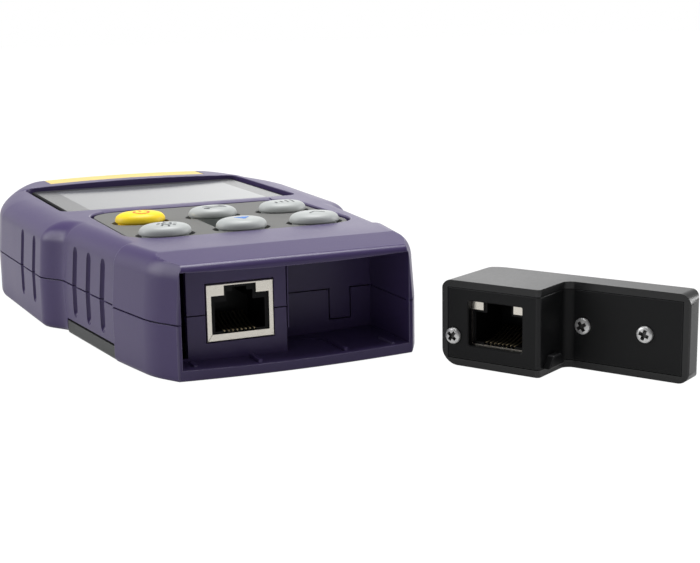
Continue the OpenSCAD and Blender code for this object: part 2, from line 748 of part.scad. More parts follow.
module case_screws() {
  color([0.72, 0.72, 0.73]) for (p = screw_spots) translate([p[0], front + p[1], screw_seat]) difference() {
    union() {
      translate([0, 0, -2]) cylinder(h = 2, d = 5);
      cylinder(h = screw_length, d = case_screw - 0.1);
    }
    for (a = [0, 90]) rotate([0, 0, a]) translate([-1.5, -0.35, -3]) cube([3, 0.7, 2]);
  }
}

module at_remote() {
  translate([remote_x, front + remote_y, 0]) rotate([0, 0, remote_turn]) children();
}

module step_plan(grow, depth) {
  polygon([[-grow, -grow], [thick_length + grow, -grow], [thick_length + grow, step_depth - grow],
    [remote_length + grow, step_depth - grow], [remote_length + grow, depth], [-grow, depth]]);
}

module end_profile(grow) {
  translate([remote_length / 2, remote_height / 2])
    rounded_plan(remote_length + 2 * grow, remote_height + 2 * grow, remote_corner + grow);
}

module remote_block(grow, depth) {
  intersection() {
    translate([0, 0, -1]) linear_extrude(remote_height + 2) step_plan(grow, depth);
    translate([0, depth + 1, 0]) rotate([90, 0, 0]) linear_extrude(depth + 2) end_profile(grow);
  }
}

module remote_case() {
  color([0.13, 0.13, 0.14]) at_remote() difference() {
    union() {
      difference() {
        remote_block(0, thick_depth);
        cover_sheet(-remote_wall + cover_gap, -1, cover_thickness + cover_gap);
        remote_inside();
      }
      intersection() {
        remote_bosses();
        remote_block(-0.5, thick_depth - 0.5);
      }
    }
    for (p = remote_spots) translate([p[0], p[1] + cover_thickness - 1, p[2]])
      rotate([-90, 0, 0]) cylinder(h = 6, d = screw_shank);
  }
}

module remote_inside() {
  translate([0, 0, remote_wall]) linear_extrude(remote_height - 2 * remote_wall)
    polygon([[remote_wall, 1], [thick_length - remote_wall, 1],
      [thick_length - remote_wall, step_depth + cover_thickness],
      [remote_length - remote_wall, step_depth + cover_thickness],
      [remote_length - remote_wall, thick_depth - remote_wall], [remote_wall, thick_depth - remote_wall]]);
}

module remote_bosses() {
  for (p = remote_spots) {
    depth = p[1] > 0 ? thick_depth - step_depth - cover_thickness - cover_gap : 9;
    translate([p[0], p[1] + cover_thickness + cover_gap, p[2]]) rotate([-90, 0, 0])
      cylinder(h = depth, r = boss_radius);
  }
}

module cover_sheet(grow, from, to) {
  low = -grow;
  translate([0, 0, low]) linear_extrude(remote_height - 2 * low)
    polygon([[low, from], [thick_length + max(0, -from), from],
      [thick_length + max(0, -from), step_depth + from], [remote_length - low, step_depth + from],
      [remote_length - low, step_depth + to], [thick_length - to, step_depth + to],
      [thick_length - to, to], [low, to]]);
}

module remote_cover() {
  color([0.14, 0.14, 0.15]) at_remote() difference() {
    union() {
      cover_sheet(-remote_wall, 0, cover_thickness);
      translate([thick_length - 0.3, 2, remote_wall]) rotate([90, 0, 90]) linear_extrude(wedge_reach + 0.3)
        polygon([[0, 0], [7, 0], [5.6, wedge_height], [2.2, wedge_height]]);
    }
    translate([window_middle - window_width / 2, -1, window_level - window_height / 2])
      cube([window_width, 4, window_height]);
    for (p = remote_spots) translate([p[0], p[1] - 1, p[2]]) rotate([-90, 0, 0])
      cylinder(h = 5, d = screw_shank + 0.3);
  }
}

module at_remote_socket() {
  at_remote() translate([window_middle, cover_thickness + 0.1, window_level - socket_height / 2]) children();
}

module remote_board() {
  level = window_level - socket_height / 2;
  color([0.1, 0.36, 0.2]) at_remote() translate([0, 0, level - board_thickness + 0.1])
    linear_extrude(board_thickness - 0.1) polygon([[remote_wall + 0.3, cover_thickness + 0.6],
      [thick_length - cover_thickness - 0.4, cover_thickness + 0.6],
      [thick_length - cover_thickness - 0.4, step_depth + cover_thickness + 0.4],
      [remote_length - remote_wall - 0.3, step_depth + cover_thickness + 0.4],
      [remote_length - remote_wall - 0.3, thick_depth - remote_wall - 0.3],
      [remote_wall + 0.3, thick_depth - remote_wall - 0.3]]);
}

module remote_socket_shell() {
  color([0.8, 0.78, 0.74]) at_remote_socket() shell_solid();
}

module remote_socket_insert() {
  color([0.08, 0.08, 0.09]) at_remote_socket() insert_solid();
}

module remote_socket_contacts() {
  color([0.85, 0.7, 0.35]) at_remote_socket() contact_solids();
}

module remote_screws() {
  color([0.8, 0.8, 0.8]) at_remote() for (p = remote_spots) translate([p[0], p[1], p[2]])
    rotate([-90, 0, 0]) difference() {
      union() {
        translate([0, 0, -remote_head_height]) cylinder(h = remote_head_height, d = remote_head);
        cylinder(h = 1.35 * remote_head, d = screw_shank - 0.1);
      }
      for (a = [0, 90]) rotate([0, 0, a]) translate([-0.3 * remote_head, -0.25, -remote_head_height - 1])
        cube([0.6 * remote_head, 0.5, 1.6]);
    }
}

top_case();
bottom_case();
battery_door();
end_cap();
display_lens();
display_panel();
backlight();
keypad_plate();
power_key();
key_back_mid();
key_back_right();
key_front_left();
key_front_mid();
key_front_right();
key_switches();
main_board();
socket_board();
board_header();
socket_shell();
socket_insert();
socket_contacts();
cells();
cell_contacts();
case_screws();
remote_case();
remote_cover();
remote_board();
remote_socket_shell();
remote_socket_insert();
remote_socket_contacts();
remote_screws();
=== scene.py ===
import bmesh
import bpy
import math
from mathutils import Matrix, Vector


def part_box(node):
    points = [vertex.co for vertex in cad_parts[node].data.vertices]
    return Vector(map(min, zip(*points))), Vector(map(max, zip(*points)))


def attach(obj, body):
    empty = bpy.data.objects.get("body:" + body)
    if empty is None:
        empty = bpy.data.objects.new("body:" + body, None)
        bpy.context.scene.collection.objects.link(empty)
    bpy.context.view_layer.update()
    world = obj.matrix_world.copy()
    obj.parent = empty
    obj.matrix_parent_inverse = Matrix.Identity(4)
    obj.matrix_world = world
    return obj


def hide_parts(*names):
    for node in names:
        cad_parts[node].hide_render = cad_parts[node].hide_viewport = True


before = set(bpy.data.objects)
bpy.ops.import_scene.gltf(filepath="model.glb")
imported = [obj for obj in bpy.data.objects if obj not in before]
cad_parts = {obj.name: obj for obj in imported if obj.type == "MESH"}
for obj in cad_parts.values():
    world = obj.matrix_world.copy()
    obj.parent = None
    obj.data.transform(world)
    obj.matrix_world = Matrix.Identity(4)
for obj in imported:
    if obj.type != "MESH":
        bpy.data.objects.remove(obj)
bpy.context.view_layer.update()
mm = 0.001  # every shape below is written in millimetres
print("frame loaded:", len(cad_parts), "nodes")


# expressions on sockets

def plug(tree, socket, value):
    if isinstance(value, Wire):
        tree.links.new(value.socket, socket)
    else:
        socket.default_value = value


class Wire:
    def __init__(self, tree, socket):
        self.tree = tree
        self.socket = socket

    def math(self, kind, first, second=0.0):
        node = self.tree.nodes.new("ShaderNodeMath")
        node.operation = kind
        plug(self.tree, node.inputs[0], first)
        plug(self.tree, node.inputs[1], second)
        return Wire(self.tree, node.outputs[0])

    def __add__(self, other):
        return self.math("ADD", self, other)

    def __radd__(self, other):
        return self.math("ADD", other, self)

    def __sub__(self, other):
        return self.math("SUBTRACT", self, other)

    def __rsub__(self, other):
        return self.math("SUBTRACT", other, self)

    def __mul__(self, other):
        return self.math("MULTIPLY", self, other)

    def __rmul__(self, other):
        return self.math("MULTIPLY", other, self)

    def __truediv__(self, other):
        return self.math("DIVIDE", self, other)

    def __pow__(self, other):
        return self.math("POWER", self, other)

    def __gt__(self, other):
        return self.math("GREATER_THAN", self, other)

    def __lt__(self, other):
        return self.math("LESS_THAN", self, other)

    def __abs__(self):
        return self.math("ABSOLUTE", self)

    def least(self, other):
        return self.math("MINIMUM", self, other)

    def most(self, other):
        return self.math("MAXIMUM", self, other)

    def clamped(self):
        return self.most(0.0).least(1.0)


class Graph:
    def __init__(self, tree):
        self.tree = tree

    def node(self, kind, settings=None, sockets=None, out=0):
        made = self.tree.nodes.new(kind)
        for key, value in (settings or {}).items():
            setattr(made, key, value)
        for key, value in (sockets or {}).items():
            plug(self.tree, made.inputs[key], value)
        return Wire(self.tree, made.outputs[out]) if made.outputs else None

    def split(self, vector):
        parts = self.node("ShaderNodeSeparateXYZ", None, {0: vector}).socket.node
        return [Wire(self.tree, part) for part in parts.outputs]

    def sightLines(self):  # seen by the camera, in a reflection and through glass
        path = self.node("ShaderNodeLightPath").socket.node
        kinds = ("Is Camera Ray", "Is Glossy Ray", "Is Transmission Ray")
        return [Wire(self.tree, path.outputs[kind]) for kind in kinds]


class Finish(Graph):
    def __init__(self, name):
        self.material = bpy.data.materials.new(name)
        self.material.use_nodes = True
        super().__init__(self.material.node_tree)
        self.shader = self.tree.nodes["Principled BSDF"]
        self.place = self.node("ShaderNodeTexCoord", out="Object")

    def noise(self, scale, detail=2.0, vector=None):
        sockets = {"Vector": vector or self.place, "Scale": scale, "Detail": detail}
        return self.node("ShaderNodeTexNoise", None, sockets)

    def attribute(self, name):
        return self.node("ShaderNodeAttribute", {"attribute_name": name}, out="Fac")

    def mix(self, factor, first, second):
        sockets = {0: factor, 6: first, 7: second}
        return self.node("ShaderNodeMix", {"data_type": "RGBA"}, sockets, out=2)

    def shades(self, factor, colour, low, high):
        return self.mix(factor, rgba(colour, low), rgba(colour, high))

    def bump(self, height, strength, distance, under=None):
        sockets = {"Height": height, "Strength": strength, "Distance": distance}
        if under:
            sockets["Normal"] = under
        return self.node("ShaderNodeBump", None, sockets)

    def done(self, **sockets):
        for key, value in sockets.items():
            plug(self.tree, self.shader.inputs[key.replace("_", " ")], value)
        return self.material


def rgba(colour, gain=1.0):
    return tuple(c * gain for c in colour) + (1.0,)


# finishes

mouldForm = {"speckScale": 0.31, "speckMix": 0.5, "roughness": (0.08, 0.06, 0.05), "grainDeep": 0.00006,
             "cloudBump": (0.05, 0.0002)}
plainLook = {"drift": 0.05, "cloud": 70.0, "grain": 6000.0, "bump": 0.1, "rough": 0.4, "wearAndHighlight": 0.2,
             "shine": 0.5}
inkLook = {"colour": (0.055, 0.06, 0.066), "worn": (0.1, 0.1, 0.1), "drift": 0.2, "cloud": 900.0,
           "grain": 9000.0, "rough": 0.5, "wearAndHighlight": 0.1}
mouldedLooks = {  # each one says where it differs from the plain look
    "caseViolet": {"colour": (0.062, 0.043, 0.128), "worn": (0.30, 0.28, 0.38), "cloud": 55.0,
                   "grain": 5200.0, "bump": 0.08, "rough": 0.34, "wearAndHighlight": 0.18, "shine": 0.36},
    "doorGrey": {"colour": (0.047, 0.05, 0.05), "worn": (0.16, 0.16, 0.16), "drift": 0.07, "grain": 4200.0,
                 "bump": 0.25, "rough": 0.45, "wearAndHighlight": 0.3, "shine": 0.35},
    "plateGrey": {"colour": (0.16, 0.16, 0.155), "worn": (0.24, 0.24, 0.24), "drift": 0.06, "cloud": 80.0,
                  "grain": 4200.0, "bump": 0.35, "rough": 0.6, "wearAndHighlight": 0.25, "shine": 0.2},
    "capYellow": {"colour": (0.74, 0.56, 0.2), "worn": (0.9, 0.75, 0.35), "grain": 4600.0, "bump": 0.2,
                  "rough": 0.5, "wearAndHighlight": 0.3, "shine": 0.2},
    "keyGrey": {"colour": (0.44, 0.46, 0.455), "worn": (0.6, 0.62, 0.61), "drift": 0.04, "cloud": 120.0,
                "bump": 0.14, "rough": 0.42},
    "keyYellow": {"colour": (0.95, 0.68, 0.02), "worn": (0.95, 0.7, 0.1), "cloud": 120.0, "bump": 0.14,
                  "rough": 0.42, "shine": 0.35},
    "remoteBlack": {"colour": (0.0125, 0.0128, 0.0135), "worn": (0.07, 0.07, 0.073), "drift": 0.12,
                    "cloud": 60.0, "grain": 5200.0, "bump": 0.12, "rough": 0.31, "wearAndHighlight": 0.3, "shine": 0.42},
    "coverBlack": {"colour": (0.0065, 0.0068, 0.0075), "worn": (0.06, 0.06, 0.063), "drift": 0.12,
                   "cloud": 60.0, "grain": 4200.0, "bump": 0.25, "rough": 0.44, "wearAndHighlight": 0.3, "shine": 0.2},
    # black for the sockets' inserts and the header, and painted shade on the socket board
    "linerBlack": {"colour": (0.004, 0.004, 0.0045), "worn": (0.02, 0.02, 0.02), "drift": 0.15,
                   "cloud": 200.0, "wearAndHighlight": 0.1, "shine": 0.15},
    "switchGrey": {"colour": (0.32, 0.32, 0.3), "worn": (0.4, 0.4, 0.4), "drift": 0.08, "cloud": 200.0},
    "guideWhite": {"colour": (0.7, 0.7, 0.68), "worn": (0.8, 0.8, 0.8), "drift": 0.04, "cloud": 90.0,
                   "grain": 3000.0, "rough": 0.35, "wearAndHighlight": 0.1},
    "darkInk": inkLook,
    "redInk": dict(inkLook, colour=(0.75, 0.12, 0.01), worn=(0.8, 0.3, 0.1)),
    "blueInk": dict(inkLook, colour=(0.02, 0.16, 0.55), worn=(0.1, 0.3, 0.6)),
}


def moulded(name):
    look, m = {**plainLook, **mouldedLooks[name]}, mouldForm
    colour, drift = look["colour"], look["drift"]
    f = Finish(name)
    cloud = f.noise(look["cloud"], 3.0)
    speck = f.noise(look["grain"] * m["speckScale"], 2.0)
    grain = f.noise(look["grain"], 3.0)
    edge = f.attribute("edge")
    body = f.shades(cloud, colour, 1 - drift, 1 + drift)
    body = f.mix(speck * m["speckMix"], body, rgba(colour, 1 + 2 * drift))
    # lighter colour on tight outward roundings: partly edge wear, partly a painted highlight where those
    # edges catch light
    worn = f.mix(edge * look["wearAndHighlight"], body, rgba(look["worn"]))
    clouded, specked, rubbed = m["roughness"]
    rough = look["rough"] + (cloud - 0.5) * clouded + (speck - 0.5) * specked - edge * rubbed
    normal = f.bump(grain, look["bump"], m["grainDeep"])
    normal = f.bump(cloud, *m["cloudBump"], normal)
    return f.done(Base_Color=worn, Roughness=rough, Normal=normal, Specular_IOR_Level=look["shine"])


platingForm = {"smudge": 260.0, "shades": (0.9, 1.08), "paintedShade": (0.95, 0.04), "roughness": (0.16, 0.1),
               "bump": (0.12, 0.00004)}
platedLooks = {
    "socketMetal": {"colour": (0.82, 0.78, 0.70), "rough": 0.3, "metal": 1.0, "lines": (900, 900, 9000)},
    "contactGold": {"colour": (0.92, 0.76, 0.48), "rough": 0.35, "metal": 0.7, "lines": (9000, 900, 900)},
    "springSteel": {"colour": (0.6, 0.6, 0.58), "rough": 0.3, "metal": 1.0, "lines": (900, 9000, 900)},
    "screwZinc": {"colour": (0.45, 0.45, 0.44), "rough": 0.36, "metal": 1.0, "lines": (2500, 2500, 2500)},
    "screwBright": {"colour": (0.72, 0.72, 0.72), "rough": 0.34, "metal": 0.6, "lines": (3000, 3000, 3000)},
}


def plated(name):  # rolled sheet with faint drawing lines along one axis
    look, m = platedLooks[name], platingForm
    f = Finish(name)
    stretched = f.node("ShaderNodeMapping", None, {"Vector": f.place, "Scale": look["lines"]})
    lines = f.noise(1.0, 4.0, stretched)
    smudge = f.noise(m["smudge"], 3.0)
    tint = f.shades(smudge, look["colour"], *m["shades"])
    share, dark = m["paintedShade"]  # painted shade, darker in the screw slots and on the contact wires behind their front bend
    tint = f.mix(f.attribute("shade") * share, tint, rgba(look["colour"], dark))
    lined, smudged = m["roughness"]
    rough = look["rough"] + (lines - 0.5) * lined + (smudge - 0.5) * smudged
    return f.done(Base_Color=tint, Roughness=rough, Metallic=look["metal"], Normal=f.bump(lines, *m["bump"]))


lensLook = {"border": (0.055, 0.056, 0.058), "glass": (0.15, 0.156, 0.162), "gapShadow": (0.006, 0.006, 0.007),
            "glassDrift": (0.95, 1.05), "borderDrift": (0.95, 1.06), "haze": 38.0, "dust": 1900.0,
            "rough": 0.12, "borderRough": 0.08, "dustRough": 0.05, "cutRough": 0.7, "shine": 0.3,
            "bump": (0.02, 0.0003),
            "middle": (0.0005, 0.0313), "half": (0.0255, 0.0222), "soft": 0.00012,  # the window, in metres
            "rim": (0.0311, 0.0317, 0.0256)}


def lensFinish():  # printed border round a clear window, under a polished top, its cut edge painted near black as the shadow of the gap
    look = lensLook
    f = Finish("screenLens")
    x, y = f.split(f.place)[:2]
    across = abs(x - look["middle"][0]) - look["half"][0]
    along = abs(y - look["middle"][1]) - look["half"][1]
    border = (across.most(along) / look["soft"]).clamped()
    side, middle, end = look["rim"]
    rim = (abs(x) - side).most(abs(y - middle) - end) > 0.0  # painted shadow of the gap round the lens: its cut edge and outer band go near black
    haze = f.noise(look["haze"], 2.0)
    dust = f.noise(look["dust"], 4.0)
    glass = f.shades(haze, look["glass"], *look["glassDrift"])
    printed = f.shades(haze, look["border"], *look["borderDrift"])
    rough = look["rough"] + border * look["borderRough"]
    rough = rough + (dust - 0.5) * look["dustRough"] + rim * look["cutRough"]
    tint = f.mix(rim, f.mix(border, glass, printed), rgba(look["gapShadow"]))
    return f.done(Base_Color=tint, Roughness=rough, Normal=f.bump(haze, *look["bump"]),
                  Specular_IOR_Level=look["shine"])


cellLook = {"dark": (0.03, 0.035, 0.045), "scuffed": (0.05, 0.055, 0.065), "pale": (0.35, 0.36, 0.36),
            "halfBand": 0.006, "scuff": 700.0, "rough": (0.3, 0.15), "metal": 0.3, "bump": (0.05, 0.0001)}


def cellFinish():  # printed sleeve with one pale band
    look = cellLook
    f = Finish("cellSleeve")
    band = abs(f.split(f.place)[0]) < look["halfBand"]
    scuff = f.noise(look["scuff"], 4.0)
    sleeve = f.mix(scuff, rgba(look["dark"]), rgba(look["scuffed"]))
    smooth, worn = look["rough"]
    return f.done(Base_Color=f.mix(band, sleeve, rgba(look["pale"])), Roughness=smooth + scuff * worn,
                  Metallic=look["metal"], Normal=f.bump(scuff, *look["bump"]))


boardLook = {"shadedMask": ((0.006, 0.022, 0.012), (0.009, 0.03, 0.016)), "trace": (0.016, 0.05, 0.03),
             "traceMix": 0.6, "cells": 420.0, "uneven": 0.55, "ring": (0.3, 0.04), "weave": 1500.0,
             "rough": (0.33, 0.1), "bump": (0.15, 0.00004)}


def boardFinish():  # solder mask with the traces showing under it, both darkened nearly to black as painted shade
    look = boardLook
    f = Finish("boardGreen")
    cells = f.node("ShaderNodeTexVoronoi", {"distance": "CHEBYCHEV", "feature": "F1"},
                   {"Vector": f.place, "Scale": look["cells"], "Randomness": look["uneven"]})
    radius, width = look["ring"]
    trace = abs(cells - radius) < width
    weave = f.noise(look["weave"], 2.0)
    shadedMask = f.mix(weave, *(rgba(shade) for shade in look["shadedMask"]))
    smooth, woven = look["rough"]
    return f.done(Base_Color=f.mix(trace * look["traceMix"], shadedMask, rgba(look["trace"])),
                  Roughness=smooth + weave * woven, Normal=f.bump(trace, *look["bump"]))


finishes = {name: moulded(name) for name in mouldedLooks}
finishes.update({name: plated(name) for name in platedLooks})
finishes.update(screenLens=lensFinish(), cellSleeve=cellFinish(), boardGreen=boardFinish())
print("finishes made:", len(finishes))


# mesh helpers

def reshape(mesh, work):
    bm = bmesh.new()
    bm.from_mesh(mesh)
    work(bm)
    bm.to_mesh(mesh)
    bm.free()


def faceOut(bm):
    bmesh.ops.recalc_face_normals(bm, faces=bm.faces)


def addObject(name, data):
    made = bpy.data.objects.new(name, data)
    bpy.context.scene.collection.objects.link(made)
    return made


def addMesh(name, points, faces):
    mesh = bpy.data.meshes.new(name)
    mesh.from_pydata([tuple(c * mm for c in p) for p in points], [], faces)
    reshape(mesh, faceOut)
    return addObject(name, mesh)


def stack(name, rings):  # closed rings of equal count, skinned and capped
    count = len(rings[0])
    points = [p for ring in rings for p in ring]
    faces = []
    for level in range(len(rings) - 1):
        for i in range(count):
            a, b = level * count + i, level * count + (i + 1) % count
            faces.append((a, b, b + count, a + count))
    faces.append(tuple(range(count - 1, -1, -1)))
    faces.append(tuple(range(len(points) - count, len(points))))
    return addMesh(name, points, faces)


def bake(piece):
    graph = bpy.context.evaluated_depsgraph_get()
    old = piece.data
    piece.data = bpy.data.meshes.new_from_object(piece.evaluated_get(graph))
    piece.modifiers.clear()
    piece.data.name = piece.name
    bpy.data.meshes.remove(old)
    return piece


def carve(piece, tool, how="DIFFERENCE"):
    cut = piece.modifiers.new("carve", "BOOLEAN")
    cut.operation = how
    cut.solver = "MANIFOLD"
    cut.object = tool
    bake(piece)
    bpy.data.objects.remove(tool)
    return piece


def join(piece, other):
    return carve(piece, other, "UNION")


def turnOf(edge):
    return math.degrees(edge.calc_face_angle(0.0))


def sharp(limit):  # picks the edges that turn by more degrees than this
    return lambda edge: turnOf(edge) > limit


def outward(limit):
    return lambda edge: turnOf(edge) > limit and edge.is_convex


def soften(piece, pick, width, steps=3):
    def work(bm):
        edges = [e for e in bm.edges if len(e.link_faces) == 2 and pick(e)]
        bmesh.ops.bevel(bm, geom=edges, offset=width * mm, segments=steps, profile=0.5, affect="EDGES",
                        clamp_overlap=True)
        faceOut(bm)

    reshape(piece.data, work)
    return piece


wearAndHighlightForm = {"radius": 0.9, "least": 4, "most": 45, "longSide": 0.5}


def markEdges(piece):  # faces of tight outward roundings, for edge wear and a painted highlight along them
    k = wearAndHighlightForm
    bm = bmesh.new()
    bm.from_mesh(piece.data)
    flags = []
    for face in bm.faces:
        longest = max(e.calc_length() for e in face.edges)
        width = face.calc_area() / max(longest, 1e-9) * (2 if len(face.edges) == 3 else 1)
        bends = [e.calc_face_angle(0.0) for e in face.edges
                 if len(e.link_faces) == 2 and e.is_convex and e.calc_length() > k["longSide"] * longest]
        gentle = bends and max(bends) < math.radians(k["most"])
        tight = gentle and max(bends) > math.radians(k["least"]) and width < max(bends) * k["radius"] * mm
        flags.append(1.0 if tight else 0.0)
    bm.free()
    piece.data.attributes.new("edge", "FLOAT", "FACE").data.foreach_set("value", flags)


def finishPiece(piece, finish, body, slotName, nodes=(), angle=30, weigh=True):
    mesh = piece.data
    mesh.materials.clear()
    mesh.materials.append(finishes[finish])
    mesh.polygons.foreach_set("use_smooth", [True] * len(mesh.polygons))
    mesh.set_sharp_from_angle(angle=math.radians(angle))
    if weigh:
        normals = piece.modifiers.new("normals", "WEIGHTED_NORMAL")
        normals.keep_sharp = True
        bake(piece)
    markEdges(piece)
    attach(piece, body)
    if nodes:
        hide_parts(*nodes)
    return piece


# outlines; s runs from the bay end, x across, z up

noseY = -78.0
beyond = 60.0  # past every side of the case
above = 33.0  # over every piece
overcut = 1.0  # how far a tool reaches past what it cuts


def at(x, s, z):
    return (x, noseY + s, z)


def quarter(steps):  # angles from 0 to 90 degrees
    return [math.radians(90 * i / steps) for i in range(steps + 1)]


def rounding(r, steps):  # a quarter round, as pairs of the height still to come and the inset
    return [(r * (1 - math.sin(a)), r * (1 - math.cos(a))) for a in quarter(steps)]


def rect(x0, x1, y0, y1):
    return [(x0, y0), (x1, y0), (x1, y1), (x0, y1)]


def oval(x, y, width, depth, steps=72):
    turns = [2 * math.pi * i / steps for i in range(steps)]
    return [(x + width / 2 * math.cos(a), y + depth / 2 * math.sin(a)) for a in turns]


def upright(layers, name="tool"):  # pairs of a height and an outline in x and s
    return stack(name, [[at(x, s, z) for x, s in outline] for z, outline in layers])


def lengthwise(layers):  # pairs of a place along the body and an outline in x and z
    return stack("tool", [[at(x, s, z) for x, z in outline] for s, outline in layers])


def across(profile, x0, x1):  # an outline in s and z, carried across the body
    return stack("tool", [[at(x, s, z) for s, z in profile] for x in (x0, x1)])


def slab(x0, x1, s0, s1, z0, z1):
    return upright([(z, rect(x0, x1, s0, s1)) for z in (z0, z1)])


def pillar(x, s, radius, z0, z1, steps=40):
    return upright([(z, oval(x, s, 2 * radius, 2 * radius, steps)) for z in (z0, z1)])


def roundedRect(x, s, width, length, radius, steps=10):
    out = []
    for qx, qs, start in ((1, -1, -90), (1, 1, 0), (-1, 1, 90), (-1, -1, 180)):
        cx, cs = x + qx * (width / 2 - radius), s + qs * (length / 2 - radius)
        turns = [math.radians(start) + a for a in quarter(steps)]
        out += [(cx + radius * math.cos(a), cs + radius * math.sin(a)) for a in turns]
    return out


def rolledRim(outline, base, rim, clear, roll, steps=5):  # a recess whose rim is rounded over
    levels = [(base, clear)] + [(rim - left, clear + inset) for left, inset in rounding(roll, steps)]
    levels.append((rim + overcut, clear + roll))
    return upright([(z, outline(g)) for z, g in levels])


def ramp(value, table):
    for (a, va), (b, vb) in zip(table, table[1:]):
        if value <= b:
            return va + (vb - va) * max(0.0, value - a) / (b - a)
    return table[-1][1]


def filleted(points, radii, steps=6):
    out = [points[0]]
    for before, here, after, radius in zip(points, points[1:], points[2:], radii):
        p, a, b = Vector(here), Vector(before), Vector(after)
        u, v = (a - p).normalized(), (b - p).normalized()
        half = u.angle(v) / 2
        reach = radius / math.tan(half)
        centre = p + (u + v).normalized() * (radius / math.sin(half))
        first, last = p + u * reach, p + v * reach
        for i in range(steps + 1):
            d = (first - centre).lerp(last - centre, i / steps).normalized()
            out.append(tuple(centre + d * radius))
    out.append(points[-1])
    return out


def divided(points, step):
    out = []
    for a, b in zip(points, points[1:]):
        parts = max(1, round(math.dist(a, b) / step))
        out += [tuple(Vector(a).lerp(Vector(b), i / parts)) for i in range(parts)]
    return out + [points[-1]]


caseForm = {
    "parting": 13.1, "deck": 27.5, "deckEdge": 22.0, "lean": 0.7, "bottomEdge": 1.6,
    "seam": (0.16, 0.9, 0.08, 0.01),  # half its height, depth, broken edge, the upper half's step
    "nose": 28.3, "corner": (32.4, 7.0), "ridge": (35.9, 25.6), "waist": (35.2, 26.5), "grip": (38.9, 60.8),
    "shoulder": (43.3, 70.8), "screen": (45.3, 113.0), "tail": (26.0, 156.0),  # half widths, each with its s
    "bends": (20.0, 1.1, 0.8), "spacing": 3.0, "cut": 1.25,
    "edge": [(0, 4.0), (25.6, 4.5), (26.5, 5.2), (60.8, 6.0), (70.8, 8.5), (156, 8.5)], "tailEdge": 6.0,
    "slope": 11.6, "drop": 1.6, "crown": 0.5, "front": {"top": 1.7, "side": 0.3, "bottom": 0.5},
    "brow": {"lift": 1.1, "half": 38.0, "start": 133.6, "full": 135.6, "foot": 20.0, "spacing": 5.0,
             "cuts": 6},
    "smoothTo": 26}


def caseSide():
    f = caseForm
    lean = (f["corner"][0] - f["nose"]) / f["corner"][1]
    path = [(f["nose"] + lean * s - left, s)
            for left, s in rounding(f["front"]["side"], 6)]  # the front's upright edge
    path += filleted([(f["nose"], 0.0), f["corner"], f["ridge"], f["waist"], f["grip"]], f["bends"], 8)[1:]
    (x0, s0), (x1, s1) = f["grip"], f["shoulder"]
    steps = 28
    path += [(x0 + (x1 - x0) * (1 - math.cos(math.pi * i / steps)) / 2, s0 + (s1 - s0) * i / steps)
             for i in range(1, steps + 1)]
    return divided(path + [f["screen"]], f["spacing"])[:-1]


sidePath = caseSide()


def caseRing(z, inset, k):  # k is the share of the deck's rounding
    f = caseForm
    half = [(x - inset - k * ramp(s, f["edge"]), s) for x, s in sidePath]
    (sx, ss), (tx, ts) = f["screen"], f["tail"]
    wide, long = sx - tx - inset - k * f["edge"][-1][1], ts - ss - inset - k * f["tailEdge"]
    half += [(tx + wide * max(0.0, math.cos(a)) ** f["cut"], ss + long * math.sin(a) ** f["cut"])
             for a in quarter(36)]
    return [at(x, s, z) for x, s in half] + [at(-x, s, z) for x, s in reversed(half)]


def topLevels(steps=14):
    f = caseForm
    low, (half, deep, broken, step) = f["parting"], f["seam"]
    levels = [(low, deep, 0), (low + half, deep, 0), (low + half, broken, 0), (low + half + broken, step, 0)]
    rise = f["deck"] - f["deckEdge"]
    return levels + [(f["deck"] - rise * left, f["lean"], inset) for left, inset in rounding(1.0, steps)]


def bottomLevels(r, steps=10):
    high, (half, deep, broken, step) = caseForm["parting"], caseForm["seam"]
    levels = [(z, inset, 0) for z, inset in reversed(rounding(r, steps))]
    return levels + [(high - half - broken, 0.0, 0), (high - half, broken, 0), (high - half, deep, 0),
                     (high, deep, 0)]


bayForm = {"half": 27.3, "floor": 3.0, "ceiling": 24.5, "bow": 0.65, "depth": 8.0, "roll": 0.2,
           "pocket": 21.3, "pocketLeft": 0.6, "wall": 1.6, "panelBack": 9.8, "panelLeft": -23.6,
           "socketCut": (7.0, 11.0), "panelGap": (7.5, 10.3, 3.4, 23.5),  # from and to, in s and then in z
           "panelSlit": (0.05, 0.36, 7.5, 9.4, 3.2, 23.8)}


def bayProfile(x0, x1, grown, steps=28):
    b = bayForm
    xs = [x0 - grown + (x1 - x0 + 2 * grown) * i / steps for i in range(steps + 1)]
    bow = [b["bow"] * (1 - (x / b["half"]) ** 2) for x in xs]
    low = [(x, b["floor"] - dip - grown) for x, dip in zip(xs, bow)]
    high = [(x, b["ceiling"] - dip + grown) for x, dip in zip(xs, bow)]
    return low + high[::-1]


def openBay(piece):  # the shallow bay with its rolled rim, and the deep pocket on its right
    b = bayForm
    half, r = b["half"], b["roll"]
    stations = [(-overcut, r)] + rounding(r, 5)[::-1] + [(b["depth"], 0.0)]
    carve(piece, lengthwise([(s, bayProfile(-half, half, g)) for s, g in stations]))
    pocket = bayProfile(b["pocketLeft"], half, 0.0)
    carve(piece, lengthwise([(s, pocket) for s in (b["depth"] - overcut / 2, b["pocket"])]))


def cutPanel(piece):  # the socket's hole and the gaps on both sides of the panel
    b, k = bayForm, socketForm
    g = k["gap"]
    carve(piece, slab(k["left"] - g, k["left"] + k["width"] + g, *b["socketCut"],
                      k["bottom"] - g, k["bottom"] + k["height"] + g))
    carve(piece, slab(-b["half"], b["panelLeft"], *b["panelGap"]))
    carve(piece, slab(*b["panelSlit"]))


def cavity(z0, z1, inset, k):
    b = bayForm
    room = stack("tool", [caseRing(z, inset, k) for z in (z0, z1)])
    low, high = z0 - overcut, z1 + overcut
    carve(room, slab(-beyond, beyond, -beyond, b["panelBack"], low, high))
    left, back = b["pocketLeft"] - b["wall"], b["pocket"] + b["wall"]
    return carve(room, slab(left, beyond, -beyond, back, low, high))


